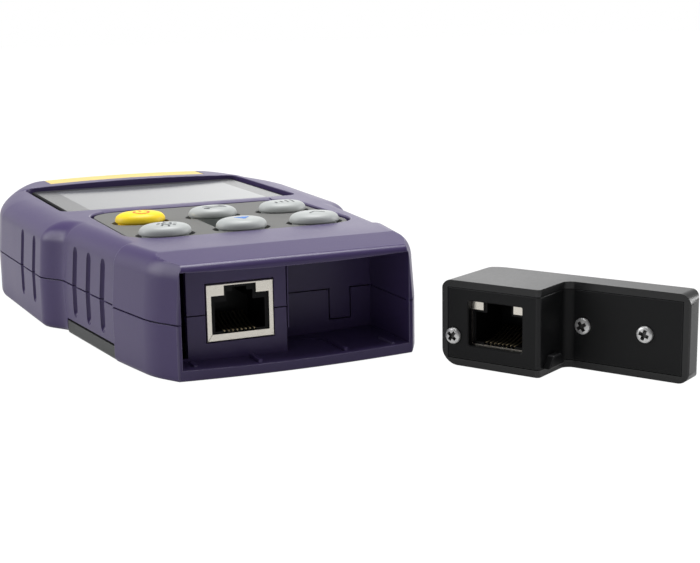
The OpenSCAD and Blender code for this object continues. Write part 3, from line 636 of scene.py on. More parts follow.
# repeated pieces

def treeFor(name, **inputs):
    tree = bpy.data.node_groups.new(name, "GeometryNodeTree")
    for label, kind in inputs.items():
        tree.interface.new_socket(name=label, in_out="INPUT", socket_type="NodeSocket" + kind)
    tree.interface.new_socket(name="Geometry", in_out="OUTPUT", socket_type="NodeSocketGeometry")
    graph = Graph(tree)
    source = graph.node("NodeGroupInput").socket.node
    return graph, {label: Wire(tree, source.outputs[label]) for label in inputs}


def endTree(graph, shape, material):
    whole = graph.node("GeometryNodeRealizeInstances", None, {"Geometry": shape})
    last = graph.node("GeometryNodeSetMaterial", None, {"Geometry": whole, "Material": material})
    graph.node("NodeGroupOutput", None, {0: last})
    return graph.tree


def grow(name, tree, values, points=()):
    piece = addMesh(name, points, [])
    maker = piece.modifiers.new("maker", "NODES")
    maker.node_group = tree
    for item in tree.interface.items_tree:
        if item.in_out == "INPUT" and item.name in values:
            maker[item.identifier] = values[item.name]
    return bake(piece)


def spreadTree():  # one piece set on every point, with an optional random turn
    graph, given = treeFor("spread", Geometry="Geometry", Piece="Object", Turn="Float", Seed="Int",
                           Material="Material")
    shape = graph.node("GeometryNodeObjectInfo", None, {"Object": given["Piece"]}, out="Geometry")
    turn = graph.node("FunctionNodeRandomValue", {"data_type": "FLOAT"},
                      {3: given["Turn"], "Seed": given["Seed"]}, out=1)
    spin = graph.node("ShaderNodeCombineXYZ", None, {"Z": turn})
    placed = graph.node("GeometryNodeInstanceOnPoints", None,
                        {"Points": given["Geometry"], "Instance": shape, "Rotation": spin})
    return endTree(graph, placed, given["Material"])


def wireTree():  # a row of bent contact wires
    graph, given = treeFor("contactRow", Count="Int", Pitch="Float", Width="Float", Depth="Float",
                           First="Vector", Foot="Vector", Knee="Vector", Tip="Vector", Material="Material")
    bends = {"Start": given["Foot"], "Middle": given["Knee"], "End": given["Tip"]}
    path = graph.node("GeometryNodeCurveQuadraticBezier", None, {"Resolution": 10, **bends})
    section = graph.node("GeometryNodeCurvePrimitiveQuadrilateral", None,
                         {"Width": given["Width"], "Height": given["Depth"]})
    strip = graph.node("GeometryNodeCurveToMesh", None,
                       {"Curve": path, "Profile Curve": section, "Fill Caps": True})
    offset = graph.node("ShaderNodeCombineXYZ", None, {"X": given["Pitch"]})
    row = graph.node("GeometryNodeMeshLine", None,
                     {"Count": given["Count"], "Start Location": given["First"], "Offset": offset})
    placed = graph.node("GeometryNodeInstanceOnPoints", None, {"Points": row, "Instance": strip})
    return endTree(graph, placed, given["Material"])


def keyTree():  # an oval pebble: flat foot, tucked neck, rounded belly and crown
    graph, given = treeFor("keyPillow", Width="Float", Depth="Float", Base="Float", Belly="Float",
                           Rise="Float", Tuck="Float", Side="Float", Crown="Float", Centre="Vector",
                           Around="Int", Rows="Int", Material="Material")
    counts = {"Vertices X": given["Around"] + 1, "Vertices Y": given["Rows"]}
    sheet = graph.node("GeometryNodeMeshGrid", None, {"Size X": 1.0, "Size Y": 1.0, **counts})
    across, along = graph.split(graph.node("GeometryNodeInputPosition"))[:2]
    angle = (across + 0.5) * (2 * math.pi)
    t = along + 0.5
    foot, wall, under = 0.05, 0.12, 0.65  # shares of the rows, and the angle where the belly starts
    climb = ((t - foot) / (wall - foot)).clamped()
    theta = ((t - wall) / (1 - wall)).most(0.0) * (math.pi / 2 + under) - under
    sine = theta.math("SINE", theta)
    cosine = theta.math("COSINE", theta).most(0.0)
    radial = (t / foot).least(1.0) * cosine ** given["Side"]
    x = radial * angle.math("COSINE", angle) * given["Width"] * 0.5
    y = radial * angle.math("SINE", angle) * given["Depth"] * 0.5
    neck = given["Belly"] - given["Tuck"] * math.sin(under)
    tucked = (sine.least(0.0) + math.sin(under)) * given["Tuck"]
    arch = sine.most(0.0) ** given["Crown"] * given["Rise"] + tucked
    z = given["Base"] + climb * (neck - given["Base"]) + climb * arch
    place = graph.node("ShaderNodeCombineXYZ", None, {"X": x, "Y": y, "Z": z})
    place = graph.node("ShaderNodeVectorMath", {"operation": "ADD"}, {0: place, 1: given["Centre"]})
    shaped = graph.node("GeometryNodeSetPosition", None, {"Geometry": sheet, "Position": place})
    closed = graph.node("GeometryNodeMergeByDistance", None, {"Geometry": shaped, "Distance": 0.000002})
    return endTree(graph, closed, given["Material"])


spread = spreadTree()
contactRow = wireTree()
keyPillow = keyTree()


def scatter(name, piece, spots, turn=0.0, seed=1, finish=None):
    values = {"Piece": piece, "Turn": turn, "Seed": seed}
    if finish:
        values["Material"] = finishes[finish]
    made = grow(name, spread, values, spots)
    bpy.data.objects.remove(piece)
    return made


# case halves

grooveForm = {"radius": 1.6, "depth": 1.2, "low": 5.2, "high": 23.0, "narrowest": 0.6,
              "rows": ((34.4, 9.6, 3), (76.6, 12.2, 2)),  # first, pitch and count
              "taper": [(0, 0.0), (0.4, 0.4), (1.0, 0.75), (1.8, 1.0)]}


def grooveTools(side):  # blades that lean in with the upper wall and run out at both ends
    g, f = grooveForm, caseForm
    levels = [(g["low"] + z, fade) for z, fade in g["taper"]] + [(f["parting"], 1.0)]
    levels += [(g["high"] - z, fade) for z, fade in reversed(g["taper"])]
    rings = []
    for z, fade in levels:
        lean = f["lean"] * max(0.0, z - f["parting"]) / (f["deckEdge"] - f["parting"])
        r = g["radius"] * (g["narrowest"] + (1 - g["narrowest"]) * fade)
        middle = side * (r - g["depth"] * fade - lean)
        rings.append([(x, y, z) for x, y in oval(middle, 0, 2 * r, 2 * r, 28)])
    wall = sorted((s, x) for x, s in sidePath + [f["screen"]])
    places = [first + pitch * i for first, pitch, count in g["rows"] for i in range(count)]
    return scatter("tool", stack("blade", rings), [at(side * ramp(s, wall), s, 0) for s in places])


screenForm = {"width": 63.8, "length": 51.8, "start": 83.8, "corner": 3.0, "top": 26.5, "thick": 1.6,
              "gap": 0.35, "ledge": 2.6, "roll": 0.25, "proud": 0.25, "sideGap": 1.5, "edge": 0.3}
padForm = {"width": 56.6, "length": 48.5, "start": 30.1, "corner": 8.5, "top": 27.1, "thick": 1.6, "gap": 0.4,
           "roll": 0.45, "sideGap": 0.45, "edge": 0.3, "rise": (78.3, 81.0, 0.05), "through": 24.0}
socketForm = {"width": 16.0, "height": 13.2, "length": 14.8, "left": -19.1, "bottom": 6.6, "proud": 0.3,
              "gap": 0.2}
capForm = {"half": 24.5, "depth": 15.5, "low": 16.0, "thick": 1.4, "gap": 0.15, "edge": 0.25}


def plan(form, grown=0.0, wider=0.0):
    width, length = form["width"] + 2 * (grown + wider), form["length"] + 2 * grown
    return roundedRect(0, form["start"] + form["length"] / 2, width, length, form["corner"] + grown)


def around(form, side, front, back, z0, z1):  # a slab that reaches past a plate's outline by these widths
    half = form["width"] / 2 + side
    return slab(-half, half, form["start"] - front, form["start"] + form["length"] + back, z0, z1)


def recess(form):
    return rolledRim(lambda g: plan(form, g, form["sideGap"]), form["top"] - form["thick"], caseForm["deck"],
                     form["gap"], form["roll"])


def capSkin(gap):
    c, tail = capForm, caseForm["tail"][1]
    skin, half = c["thick"] + gap, c["half"] + gap
    zone = slab(-half, half, tail - c["depth"] - gap, tail + overcut, c["low"] - gap, above)
    return carve(zone, stack("tool", [caseRing(z - skin, i + skin, k) for z, i, k in topLevels()]))


def raiseBrow(piece):  # the far end swells a little towards its middle
    b = caseForm["brow"]
    low, high, foot = b["start"], b["full"], b["foot"]
    cuts = [(at(0, s, 0), (0, 1, 0)) for s in (low, high)]
    cuts += [((b["spacing"] * i, 0, 0), (1, 0, 0)) for i in range(-b["cuts"], b["cuts"] + 1)]

    def work(bm):
        for place, facing in cuts:  # more points at the far end, so that the swell comes out round
            faces = [f for f in bm.faces if facing[1] or f.calc_center_median().y / mm - noseY > low]
            parts = set(faces) | {e for f in faces for e in f.edges} | {v for f in faces for v in f.verts}
            bmesh.ops.bisect_plane(bm, geom=list(parts), dist=1e-7, plane_co=Vector(place) * mm,
                                   plane_no=facing)

    reshape(piece.data, work)
    for v in piece.data.vertices:
        x, s, z = v.co.x / mm, v.co.y / mm - noseY, v.co.z / mm
        share = min(1.0, max(0.0, (s - low) / (high - low))) * max(0.0, 1 - (x / b["half"]) ** 2)
        v.co.z += b["lift"] * share * min(1.0, max(0.0, (z - foot) / (caseForm["deck"] - foot))) * mm
    piece.data.update()


topForm = {"wall": 2.4, "rooms": ((12, 21.5, 0), (21, 25.3, 0.5)), "brink": (0.03, 4.0, 2.0),
           "tongue": (16.5, 21.8, 5.6, 14), "window": (1.0, 20, 28),
           "screenSeat": (2.4, 2.4, 2.4, 23.3, 25.5), "padSeat": (2.0, 1.6, 2.0, 23.7, 25.65),
           "padRoom": (-0.9, -0.7, -2.0, 22, 26)}  # side, front, back, low, high


def makeTop():
    f, b, t, screen, pad = caseForm, bayForm, topForm, screenForm, padForm
    top = stack("caseTop", [caseRing(*level) for level in topLevels()])
    skim, deep, ahead = t["brink"]
    low = f["deck"] - f["drop"]
    brink = filleted([(-skim, low - deep), (-skim, low), (f["slope"], f["deck"])], (f["front"]["top"],), 8)
    carve(top, across(brink + [(f["slope"], above), (-ahead, above), (-ahead, low - deep)], -beyond, beyond))
    for z0, z1, k in t["rooms"]:
        carve(top, cavity(z0, z1, t["wall"] + f["lean"], k))
    for side in (-1, 1):
        carve(top, grooveTools(side))
    carve(top, capSkin(capForm["gap"]))
    join(top, around(screen, *t["screenSeat"]))
    join(top, around(pad, *t["padSeat"]))
    x0, x1, z0, z1 = t["tongue"]
    join(top, slab(x0, x1, b["pocket"], b["pocket"] + b["wall"], z0, z1))
    openBay(top)
    carve(top, recess(screen))
    corner, z0, z1 = t["window"]
    inner = {"width": screen["width"] - 2 * screen["ledge"], "length": screen["length"] - 2 * screen["ledge"],
             "start": screen["start"] + screen["ledge"], "corner": corner}
    carve(top, upright([(z, plan(inner)) for z in (z0, z1)]))
    near, far, dip = pad["rise"]  # a gentle rise from the keypad to the screen
    reach = pad["width"] / 2 - pad["corner"] / 2
    wedge = [(near, pad["top"] - dip), (far, f["deck"]), (far, above), (near, above)]
    carve(top, across(wedge, -reach, reach))
    carve(top, recess(pad))
    carve(top, around(pad, *t["padRoom"]))
    cutPanel(top)
    raiseBrow(top)
    return finishPiece(top, "caseViolet", "main", "case_violet", ["top_case"], f["smoothTo"])


boxForm = {"halfX": 28.55, "skin": 1.2, "middle": 43.3, "halfS": 14.8, "roof": 17.2}
doorForm = {"start": 26.6, "end": 60.0, "edge": 3.35, "thick": 2.0, "round": 0.7, "gap": 0.3, "seat": 3.95,
            "past": 2.0, "ribs": 5, "pitch": 2.4, "ribHalf": (9.0, 0.45), "soft": 0.25,
            "ribLevels": ((-1, 0.35), (-0.05, 0.35), (0.2, 0.15), (0.5, 0.0))}
screwSpots = [(-37.2, 81.0), (37.2, 81.0), (-28.5, 146.5), (28.5, 146.5)]
baseForm = {"wall": 2.4, "room": (2.2, 14), "skim": 0.03, "crownEnd": 0.1, "boss": (3.6, 1.0),
            "screwHole": 1.5, "headHole": (2.8, 7), "pegs": ((-21.0, -3.0), (12.0, 24.0), 1.8, 1.5, 5.0),
            "ribs": ((-23.7, 2.5, 6.5), (-9.2, 0.8, 6.6), (12, 1.6, 12), (23.6, 0.9, 8.4)),
            "rib": {"half": 0.5, "foot": 2.05, "top": 3.35, "soft": 0.2}, "mark": (7.4, 13.2, 4.1, 2.3, 2.62),
            "wallSlit": (0.15, 1.1, 7.5, 19.3, 2.35, 8.0), "tongue": (16.2, 22.1, 0.1, 5.3, 14),
            "slit": 0.28, "slits": ((27.25, 7.0, 2.3), (27.65, 1.5, -0.3)), "slitTop": 15}


def cellBox():
    c, k = boxForm, boxForm["skin"]
    s0, s1 = c["middle"] - c["halfS"], c["middle"] + c["halfS"]
    box = slab(-c["halfX"] - k, c["halfX"] + k, s0 - k, s1 + k, baseForm["room"][0], c["roof"] + k)
    return carve(box, slab(-c["halfX"], c["halfX"], s0, s1, 0, c["roof"]))


def frontCrown():  # below the base: its front edge rises to both sides and is rounded
    f, d = caseForm, baseForm
    r = f["front"]["bottom"]
    stations = [(-overcut, 1.0, r)] + [(s - d["skim"], 1.0, left) for left, s in rounding(r, 6)]
    stations.append((f["ridge"][1], d["crownEnd"], 0.0))
    half, steps = 40.0, 20
    xs = [half * i / steps for i in range(-steps, steps + 1)]
    rise = [f["crown"] * (x / bayForm["half"]) ** 2 for x in xs]
    foot = [(half, -overcut), (-half, -overcut)]
    return lengthwise([(s, [(x, up * share + lift) for x, up in zip(xs, rise)] + foot)
                       for s, share, lift in stations])


def makeBottom():
    f, b, d, door = caseForm, bayForm, baseForm, doorForm
    base = stack("caseBottom", [caseRing(*level) for level in bottomLevels(f["bottomEdge"])])
    carve(base, frontCrown())
    carve(base, cavity(*d["room"], d["wall"], 0))
    for side in (-1, 1):
        carve(base, grooveTools(side))
    join(base, cellBox())
    for x, s in screwSpots:
        join(base, pillar(x, s, *d["boss"], f["parting"]))
    xs, places, radius, low, high = d["pegs"]
    for s in places:
        for x in xs:
            join(base, pillar(x, s, radius, low, high, 24))
    openBay(base)
    rib = d["rib"]
    for x, s0, s1 in d["ribs"]:
        bar = slab(x - rib["half"], x + rib["half"], s0, s1, rib["foot"], rib["top"])
        upper = (rib["top"] - 0.05) * mm
        soften(bar, lambda e: max(v.co.z for v in e.verts) > upper and turnOf(e) > 60, rib["soft"], 2)
        join(base, bar)
    carve(base, pillar(*d["mark"], 48))
    s0, s1 = door["start"] - door["gap"], door["end"] + door["gap"]
    carve(base, slab(-beyond, beyond, s0, s1, -overcut, door["seat"]))
    for x, s in screwSpots:
        radius, deep = d["headHole"]
        carve(base, pillar(x, s, d["screwHole"], -overcut, above, 24))
        carve(base, pillar(x, s, radius, -overcut, deep, 32))
    cutPanel(base)
    carve(base, slab(*d["wallSlit"]))
    x0, x1, gap, z0, z1 = d["tongue"]
    carve(base, slab(x0, x1, b["pocket"] - gap, b["pocket"] + b["wall"] + gap, z0, z1))
    for half, start, past in d["slits"]:
        carve(base, slab(-half, half, start, b["pocket"] + past, f["parting"] - d["slit"], d["slitTop"]))
    return finishPiece(base, "caseViolet", "main", "case_violet", ["bottom_case"], f["smoothTo"])


halves = [makeTop(), makeBottom()]
print("case halves:", *(len(half.data.polygons) for half in halves), "faces")


def makeDoor():
    d, c = doorForm, boxForm
    door = stack("batteryDoor", [caseRing(*level) for level in bottomLevels(d["round"], 5)])
    carve(door, slab(-beyond, beyond, d["start"], d["end"], -overcut, d["edge"]), "INTERSECT")
    half = c["halfX"] + d["past"]
    carve(door, slab(-half, half, d["start"] - overcut, d["end"] + overcut, d["thick"], above))
    soften(door, outward(60), d["soft"])
    x, y = d["ribHalf"]
    rib = stack("rib", [[(a, b, z) for a, b in rect(-x - g, x + g, -y - g, y + g)]
                        for z, g in d["ribLevels"]])
    first = c["middle"] - d["pitch"] * (d["ribs"] - 1) / 2
    carve(door, scatter("tool", rib, [at(0, first + d["pitch"] * i, 0) for i in range(d["ribs"])]))
    finishPiece(door, "doorGrey", "battery_door", "door_grey", ["battery_door"])


def makeCap():
    cap = stack("endCap", [caseRing(*level) for level in topLevels()])
    carve(cap, capSkin(0), "INTERSECT")
    soften(cap, outward(55), capForm["edge"])
    raiseBrow(cap)
    finishPiece(cap, "capYellow", "main", "cap_yellow", ["end_cap"])


def plate(name, form, top):  # a plate in its plan's outline, its upper edge rounded
    levels = [(form["top"] - form["thick"], 0.0)]
    levels += [(top - left, inset) for left, inset in rounding(form["edge"], 4)]
    return upright([(z, plan(form, -inset)) for z, inset in levels], name)


def makeLens():
    lens = plate("screenLens", screenForm, screenForm["top"] + screenForm["proud"])
    finishPiece(lens, "screenLens", "main", "lens", ["display_lens"])


keyForm = {"width": 12.8, "depth": 10.2, "rise": 2.66, "pitchX": 19.3, "pitchS": 22.0, "start": 36.7,
           "gap": 0.35, "slot": 0.5, "foot": 24.6, "belly": 0.45, "tuck": 0.85, "side": 0.5, "crown": 0.85,
           "lip": (1.2, 3.6, 0.6), "stem": 2.0, "rim": 0.2, "opening": (1.0, 2.0), "mesh": (72, 32),
           "smoothTo": 40}
keySpots = {"power_key": (-1, 1), "key_back_mid": (0, 1), "key_back_right": (1, 1), "key_front_left": (-1, 0),
            "key_front_mid": (0, 0), "key_front_right": (1, 0)}  # column and row


def keyCentre(name):
    column, row = keySpots[name]
    return column * keyForm["pitchX"], keyForm["start"] + row * keyForm["pitchS"]


def keyColour(name):  # finish and slot
    return ("keyYellow", "key_yellow") if name == "power_key" else ("keyGrey", "key_grey")


def makePlate():
    p, k = padForm, keyForm
    pad = plate("keypadPlate", p, p["top"])
    width, depth = k["width"] + 2 * (k["gap"] + k["slot"]), k["depth"] + 2 * k["gap"]
    for name in keySpots:
        x, s = keyCentre(name)

        def hole(grown):
            return oval(x, s, width + 2 * grown, depth + 2 * grown)

        carve(pad, rolledRim(hole, p["through"], p["top"], 0.0, k["rim"], 3))
    side, end = k["opening"]  # between the two keys of the middle column
    half = k["width"] / 2 - side
    carve(pad, slab(-half, half, k["start"] + end, k["start"] + k["pitchS"] - end, p["through"], above))
    finishPiece(pad, "plateGrey", "main", "plate_grey", ["keypad_plate"])


def makeKey(name):
    k = keyForm
    x, s = keyCentre(name)
    finish, slotName = keyColour(name)
    sizes = {"Width": k["width"], "Depth": k["depth"], "Base": k["foot"], "Tuck": k["tuck"],
             "Belly": padForm["top"] + k["belly"], "Rise": k["rise"] - k["belly"]}
    values = {label: size * mm for label, size in sizes.items()}
    around, rows = k["mesh"]
    values.update({"Side": k["side"], "Crown": k["crown"], "Centre": tuple(c * mm for c in at(x, s, 0)),
                   "Around": around, "Rows": rows, "Material": finishes[finish]})
    cap = grow("cap_" + name, keyPillow, values)
    past, reach, thick = k["lip"]
    half = k["width"] / 2 + past
    join(cap, slab(x - half, x + half, s - reach, s + reach, k["foot"], k["foot"] + thick))
    join(cap, pillar(x, s, k["stem"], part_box(name)[0].z / mm, k["foot"] + thick / 2, 32))
    finishPiece(cap, finish, name, slotName, [name], k["smoothTo"], False)


makeDoor()
makeCap()
makeLens()
makePlate()
for keyName in keySpots:
    makeKey(keyName)
print("keypad and screen in place")


# printed signs, laid on the crowns of the keys

def crownHeight(x, s, cx, cs):
    k = keyForm
    r = min(0.999, math.hypot((x - cx) / (k["width"] / 2), (s - cs) / (k["depth"] / 2)))
    cosine = r ** (1 / k["side"])
    return padForm["top"] + k["belly"] + (k["rise"] - k["belly"]) * math.sqrt(1 - cosine ** 2) ** k["crown"]


def strokes(paths, width):  # flat ribbons following each path, as quads in the plane
    points, faces = [], []
    for path in paths:
        closed = path[0] == path[-1]
        spine = [Vector(p) for p in (path[:-1] if closed else path)]
        count = len(spine)
        first = len(points)
        for i, p in enumerate(spine):
            before = spine[i - 1] if closed or i else p
            after = spine[(i + 1) % count] if closed or i < count - 1 else p
            along = (after - before).normalized()
            side = Vector((-along.y, along.x)) * width / 2
            points += [p + side, p - side]
        for i in range(count if closed else count - 1):
            a, b = first + 2 * i, first + 2 * ((i + 1) % count)
            faces.append((a, a + 1, b + 1, b))
    return points, faces


def arc(radius, start, end, steps=28):
    turns = [math.radians(start + (end - start) * i / steps) for i in range(steps + 1)]
    return [(radius * math.cos(a), radius * math.sin(a)) for a in turns]


def line(a, b, steps=8):
    return [tuple(Vector(a).lerp(Vector(b), i / steps)) for i in range(steps + 1)]


def rays(count, inner, outer):
    turns = [2 * math.pi * i / count for i in range(count)]
    return [line(*((r * math.cos(a), r * math.sin(a)) for r in (inner, outer)), 4) for a in turns]


def sweep(width, height, rows):  # a filled triangle, point down, as rows of strokes
    ends = [(width * (1 - i / rows), height * (0.5 - i / rows)) for i in range(rows)]
    return [line((-x, y), (x, y)) for x, y in ends]


signForm = {  # ink, stroke, drop towards the user, strokes
    "power_key": ("redInk", 0.55, 1.2, [arc(1.9, 125, 415), line((0, 0.5), (0, 2.4))]),
    "key_back_mid": ("darkInk", 0.5, 1.4, [line((-3, 0.8), (3, 0.8), 20), line((1.8, 1.7), (3, 0.8)),
                                           line((-3, -0.8), (3, -0.8), 20), line((-1.8, -1.7), (-3, -0.8))]),
    "key_back_right": ("darkInk", 0.5, 1.2, [line((1.6 * i - 2.4, -1.4), (1.6 * i - 2.4, 0.6 * i))
                                             for i in range(4)]),
    "key_front_left": ("darkInk", 0.45, 1.2, [arc(1.1, 0, 360)] + rays(8, 1.7, 2.5)),
    "key_front_mid": ("blueInk", 0.5, 1.4, sweep(1.9, 2.4, 6)),
    "key_front_right": ("darkInk", 0.5, 1.2, [line((-2, -0.9), (0, 1.1)), line((0, 1.1), (2, -0.9))]),
}
inkLayer = {"proud": 0.03, "sunk": 0.08}


def makeSign(name):
    ink, width, drop, paths = signForm[name]
    cx, cs = keyCentre(name)
    flat, faces = strokes(paths, width)
    count = len(flat)
    spots = [(cx + p.x, cs + p.y - drop) for p in flat]
    points = [at(x, s, crownHeight(x, s, cx, cs) + lift)
              for lift in (inkLayer["proud"], -inkLayer["sunk"]) for x, s in spots]
    sides = [pair for face in faces for pair in zip(face, face[1:] + face[:1])]
    outer = [(a, b) for a, b in sides if (b, a) not in sides]
    solid = faces + [tuple(i + count for i in reversed(face)) for face in faces]
    solid += [(b, a, a + count, b + count) for a, b in outer]
    sign = addMesh("sign_" + name, points, solid)
    finishPiece(sign, ink, name, keyColour(name)[1], (), keyForm["smoothTo"], False)


for keyName in signForm:
    makeSign(keyName)


# sockets: x across the mouth, y into the socket, z up, from the foot of the mouth

shellForm = {"sheet": 0.4, "side": 1.15, "foot": 1.7, "tabWide": 4.2, "tabHigh": {"main": 2.7, "remote": 3.6},
             "top": 0.5, "edge": 0.28, "seam": {"half": 0.06, "past": 0.3, "inside": 0.05, "deep": 0.16},
             "spring": {"half": 0.12, "y": (4.0, 10.5), "z": (4.0, 6.4), "soft": 0.1}}
contactForm = {"count": 8, "pitch": 1.02, "width": 0.44, "depth": 0.34, "first": -3.57, "rest": 0.3,
               "foot": (0.75, 0.0), "knee": (4.6, 0.0), "tip": (9.5, 2.4), "shadeRamp": (1.3, 0.9),
               "smoothTo": 40}


def prism(outline, z0, z1):
    return stack("tool", [[(x, y, z) for x, y in outline] for z in (z0, z1)])


def boxTool(x0, x1, y0, y1, z0, z1):
    return prism(rect(x0, x1, y0, y1), z0, z1)


def inwards(layers):  # pairs of a depth and an outline seen from the front
    return stack("tool", [[(x, y, z) for x, z in outline] for y, outline in layers])


def foldSeam(side):  # the mitred fold at a lower corner
    h, seam = shellForm, shellForm["seam"]
    half = socketForm["width"] / 2
    slant = h["foot"] / h["side"]
    run = math.hypot(1, slant)
    nx, nz = side * slant / run * seam["half"], seam["half"] / run
    ax, az = side * (half + seam["past"]), -seam["past"] * slant
    bx, bz = side * (half - h["side"] - seam["inside"]), h["foot"] + seam["inside"]
    ring = [(ax + nx, az + nz), (bx + nx, bz + nz), (bx - nx, bz - nz), (ax - nx, az - nz)]
    return inwards([(y, ring) for y in (-overcut, seam["deep"])])


def groundSpring(side):  # pressed out of the shell's side
    p = shellForm["spring"]
    middle = side * socketForm["width"] / 2
    spring = boxTool(middle - p["half"], middle + p["half"], *p["y"], *p["z"])
    return soften(spring, sharp(60), p["soft"], 2)


def makeShell(tag):
    k, h = socketForm, shellForm
    half, high, long, t = k["width"] / 2, k["height"], k["length"], h["sheet"]
    shell = boxTool(-half, half, 0, long, 0, high)
    shell.name = tag + "SocketShell"

    def frontOrLong(edge):
        a, b = (v.co.y / mm for v in edge.verts)
        return turnOf(edge) > 60 and max(a, b) < long - 0.1 or abs(a - b) > 1

    soften(shell, frontOrLong, h["edge"], 4)
    carve(shell, boxTool(-half + t, half - t, t, long + overcut, t, high - t))
    for inset, top in ((h["side"], h["tabHigh"][tag]), (h["tabWide"], h["top"])):
        carve(shell, boxTool(-half + inset, half - inset, -overcut, t + overcut, h["foot"], high - top))
    for side in (-1, 1):
        carve(shell, foldSeam(side))
    for side in (-1, 1):
        join(shell, groundSpring(side))
    return shell


def setDown(piece, matrix):
    piece.data.transform(matrix)
    piece.data.update()
    return piece


def makeContacts(name):
    c, h = contactForm, shellForm
    bends = {label.title(): (0, (h["sheet"] + c[label][0]) * mm, (h["foot"] + c["rest"] + c[label][1]) * mm)
             for label in ("foot", "knee", "tip")}
    sizes = {label.title(): c[label] * mm for label in ("pitch", "width", "depth")}
    values = {"Count": c["count"], "First": (c["first"] * mm, 0, 0), "Material": finishes["contactGold"],
              **sizes, **bends}
    wires = grow(name, contactRow, values)
    start, fade = c["shadeRamp"]  # painted shade: the wires darken behind their front bend, where shade falls inside the socket
    paintedShade = [min(1.0, max(0.0, (v.co.y / mm - start) / fade)) for v in wires.data.vertices]
    wires.data.attributes.new("shade", "FLOAT", "POINT").data.foreach_set("value", paintedShade)
    return wires


def shift(x, y, z):
    return Matrix.Translation(Vector((x, y, z)) * mm)


remoteForm = {"length": 53.8, "height": 19.5, "thick": 24.8, "step": 12.4, "depth": 19.2,
              "place": (30.8, -9.4), "turn": -60.5, "socket": (13.7, 1.7, 3.45),
              "wall": 1.7, "cover": 1.6, "gap": 0.09, "corner": 2.5, "footCorner": 4.2, "round": 0.5,
              "nose": 0.9, "backLeft": 6.0, "backRight": 3.2, "inner": 2.2, "rear": (3.2, 0.3),
              "sharp": 0.35, "roomCorner": 0.2}
mainPlace = shift(*at(socketForm["left"] + socketForm["width"] / 2, bayForm["depth"] - socketForm["proud"],
                      socketForm["bottom"]))
remoteTurn = shift(*at(*remoteForm["place"], 0)) @ Matrix.Rotation(math.radians(remoteForm["turn"]), 4, "Z")
remotePlace = remoteTurn @ shift(*remoteForm["socket"])
for body, place, start in (("main", mainPlace, ""), ("remote", remotePlace, "remote_")):
    shell = setDown(makeShell(body), place)
    finishPiece(shell, "socketMetal", body, "socket_metal", [start + "socket_shell"])
    wires = setDown(makeContacts(body + "SocketContacts"), place)
    finishPiece(wires, "contactGold", body, "contact_gold", [start + "socket_contacts"],
                contactForm["smoothTo"], False)
print("sockets in place")


# remote end: u along it, v from the face inwards, z up

def stepOutline():
    r = remoteForm
    middle, back = (r["length"] / 2, r["depth"]), r["depth"]
    corners = [middle, (0, back), (0, 0), (r["thick"], 0), (r["thick"], r["step"]), (r["length"], r["step"]),
               (r["length"], back), middle]
    radii = [r[bend] for bend in ("backLeft", "sharp", "nose", "inner", "sharp", "backRight")]
    return filleted(corners, radii, 10)[:-1]


def endOutline():  # seen from the front; the foot by the socket is rounder than the other corners
    r = remoteForm
    middle, high = (r["length"] / 2, 0), r["height"]
    corners = [middle, (r["length"], 0), (r["length"], high), (0, high), (0, 0), middle]
    return filleted(corners, (r["corner"], r["corner"], r["corner"], r["footCorner"]), 10)[:-1]


def backLine(low, back, steps):  # the rear of the stepped cover, or of the recess for it
    r = remoteForm
    corners = [(r["length"] - low, r["step"] + back), (r["thick"] - back, r["step"] + back),
               (r["thick"] - back, back), (low, back)]
    return filleted(corners, r["rear"], steps)


def coverSheet():  # the stepped sheet that the cover is cut from
    r = remoteForm
    low = r["wall"]
    front = [(low, 0), (r["thick"], 0), (r["thick"], r["step"]), (r["length"] - low, r["step"])]
    face = filleted(front, (r["nose"], r["inner"]), 8)
    return prism(face + backLine(low, r["cover"], 8), low, r["height"] - low)


def coverRecess():
    r = remoteForm
    low, ahead = r["wall"] - r["gap"], 2
    face = [(low, -ahead), (r["thick"] + ahead, -ahead), (r["thick"] + ahead, r["step"] - ahead),
            (r["length"] - low, r["step"] - ahead)]
    return prism(face + backLine(low, r["cover"] + r["gap"], 6), low, r["height"] - low)


def makeRemoteCase():
    r = remoteForm
    case = prism(stepOutline(), -overcut, r["height"] + overcut)
    case.name = "remoteCase"
    carve(case, inwards([(v, endOutline()) for v in (-overcut, r["depth"] + overcut)]), "INTERSECT")
    soften(case, sharp(40), r["round"], 4)
    w, inside, back = r["wall"], r["roomCorner"], r["depth"] - r["wall"]
    middle, floor = (r["length"] / 2, back), r["step"] + r["cover"]
    room = [middle, (w, back), (w, 1), (r["thick"] - w, 1), (r["thick"] - w, floor), (r["length"] - w, floor),
            (r["length"] - w, back), middle]
    radii = (r["backLeft"] - w, inside, inside, inside, inside, r["backRight"] - w)
    carve(case, prism(filleted(room, radii, 6)[:-1], w, r["height"] - w))
    carve(case, coverRecess())
    finishPiece(setDown(case, remoteTurn), "remoteBlack", "remote", "remote_black", ["remote_case"])


coverForm = {"soft": 0.18, "screwHole": 1.1, "rimDeep": 0.25,
             "window": (13.7, 10.05, 13.6, 10.2, 0.35), "windowRim": (13.7, 10.05, 14.1, 10.7, 0.5),
             "wedge": ((2, 0), (9, 0), (7.6, 2.6), (4.2, 2.6)), "wedgeOut": (0.4, 1.6), "wedgeSoft": 0.3}
remoteSpots = [(3.2, 0.0, 6.8), (29.0, 12.4, 9.75), (43.7, 12.4, 9.75)]


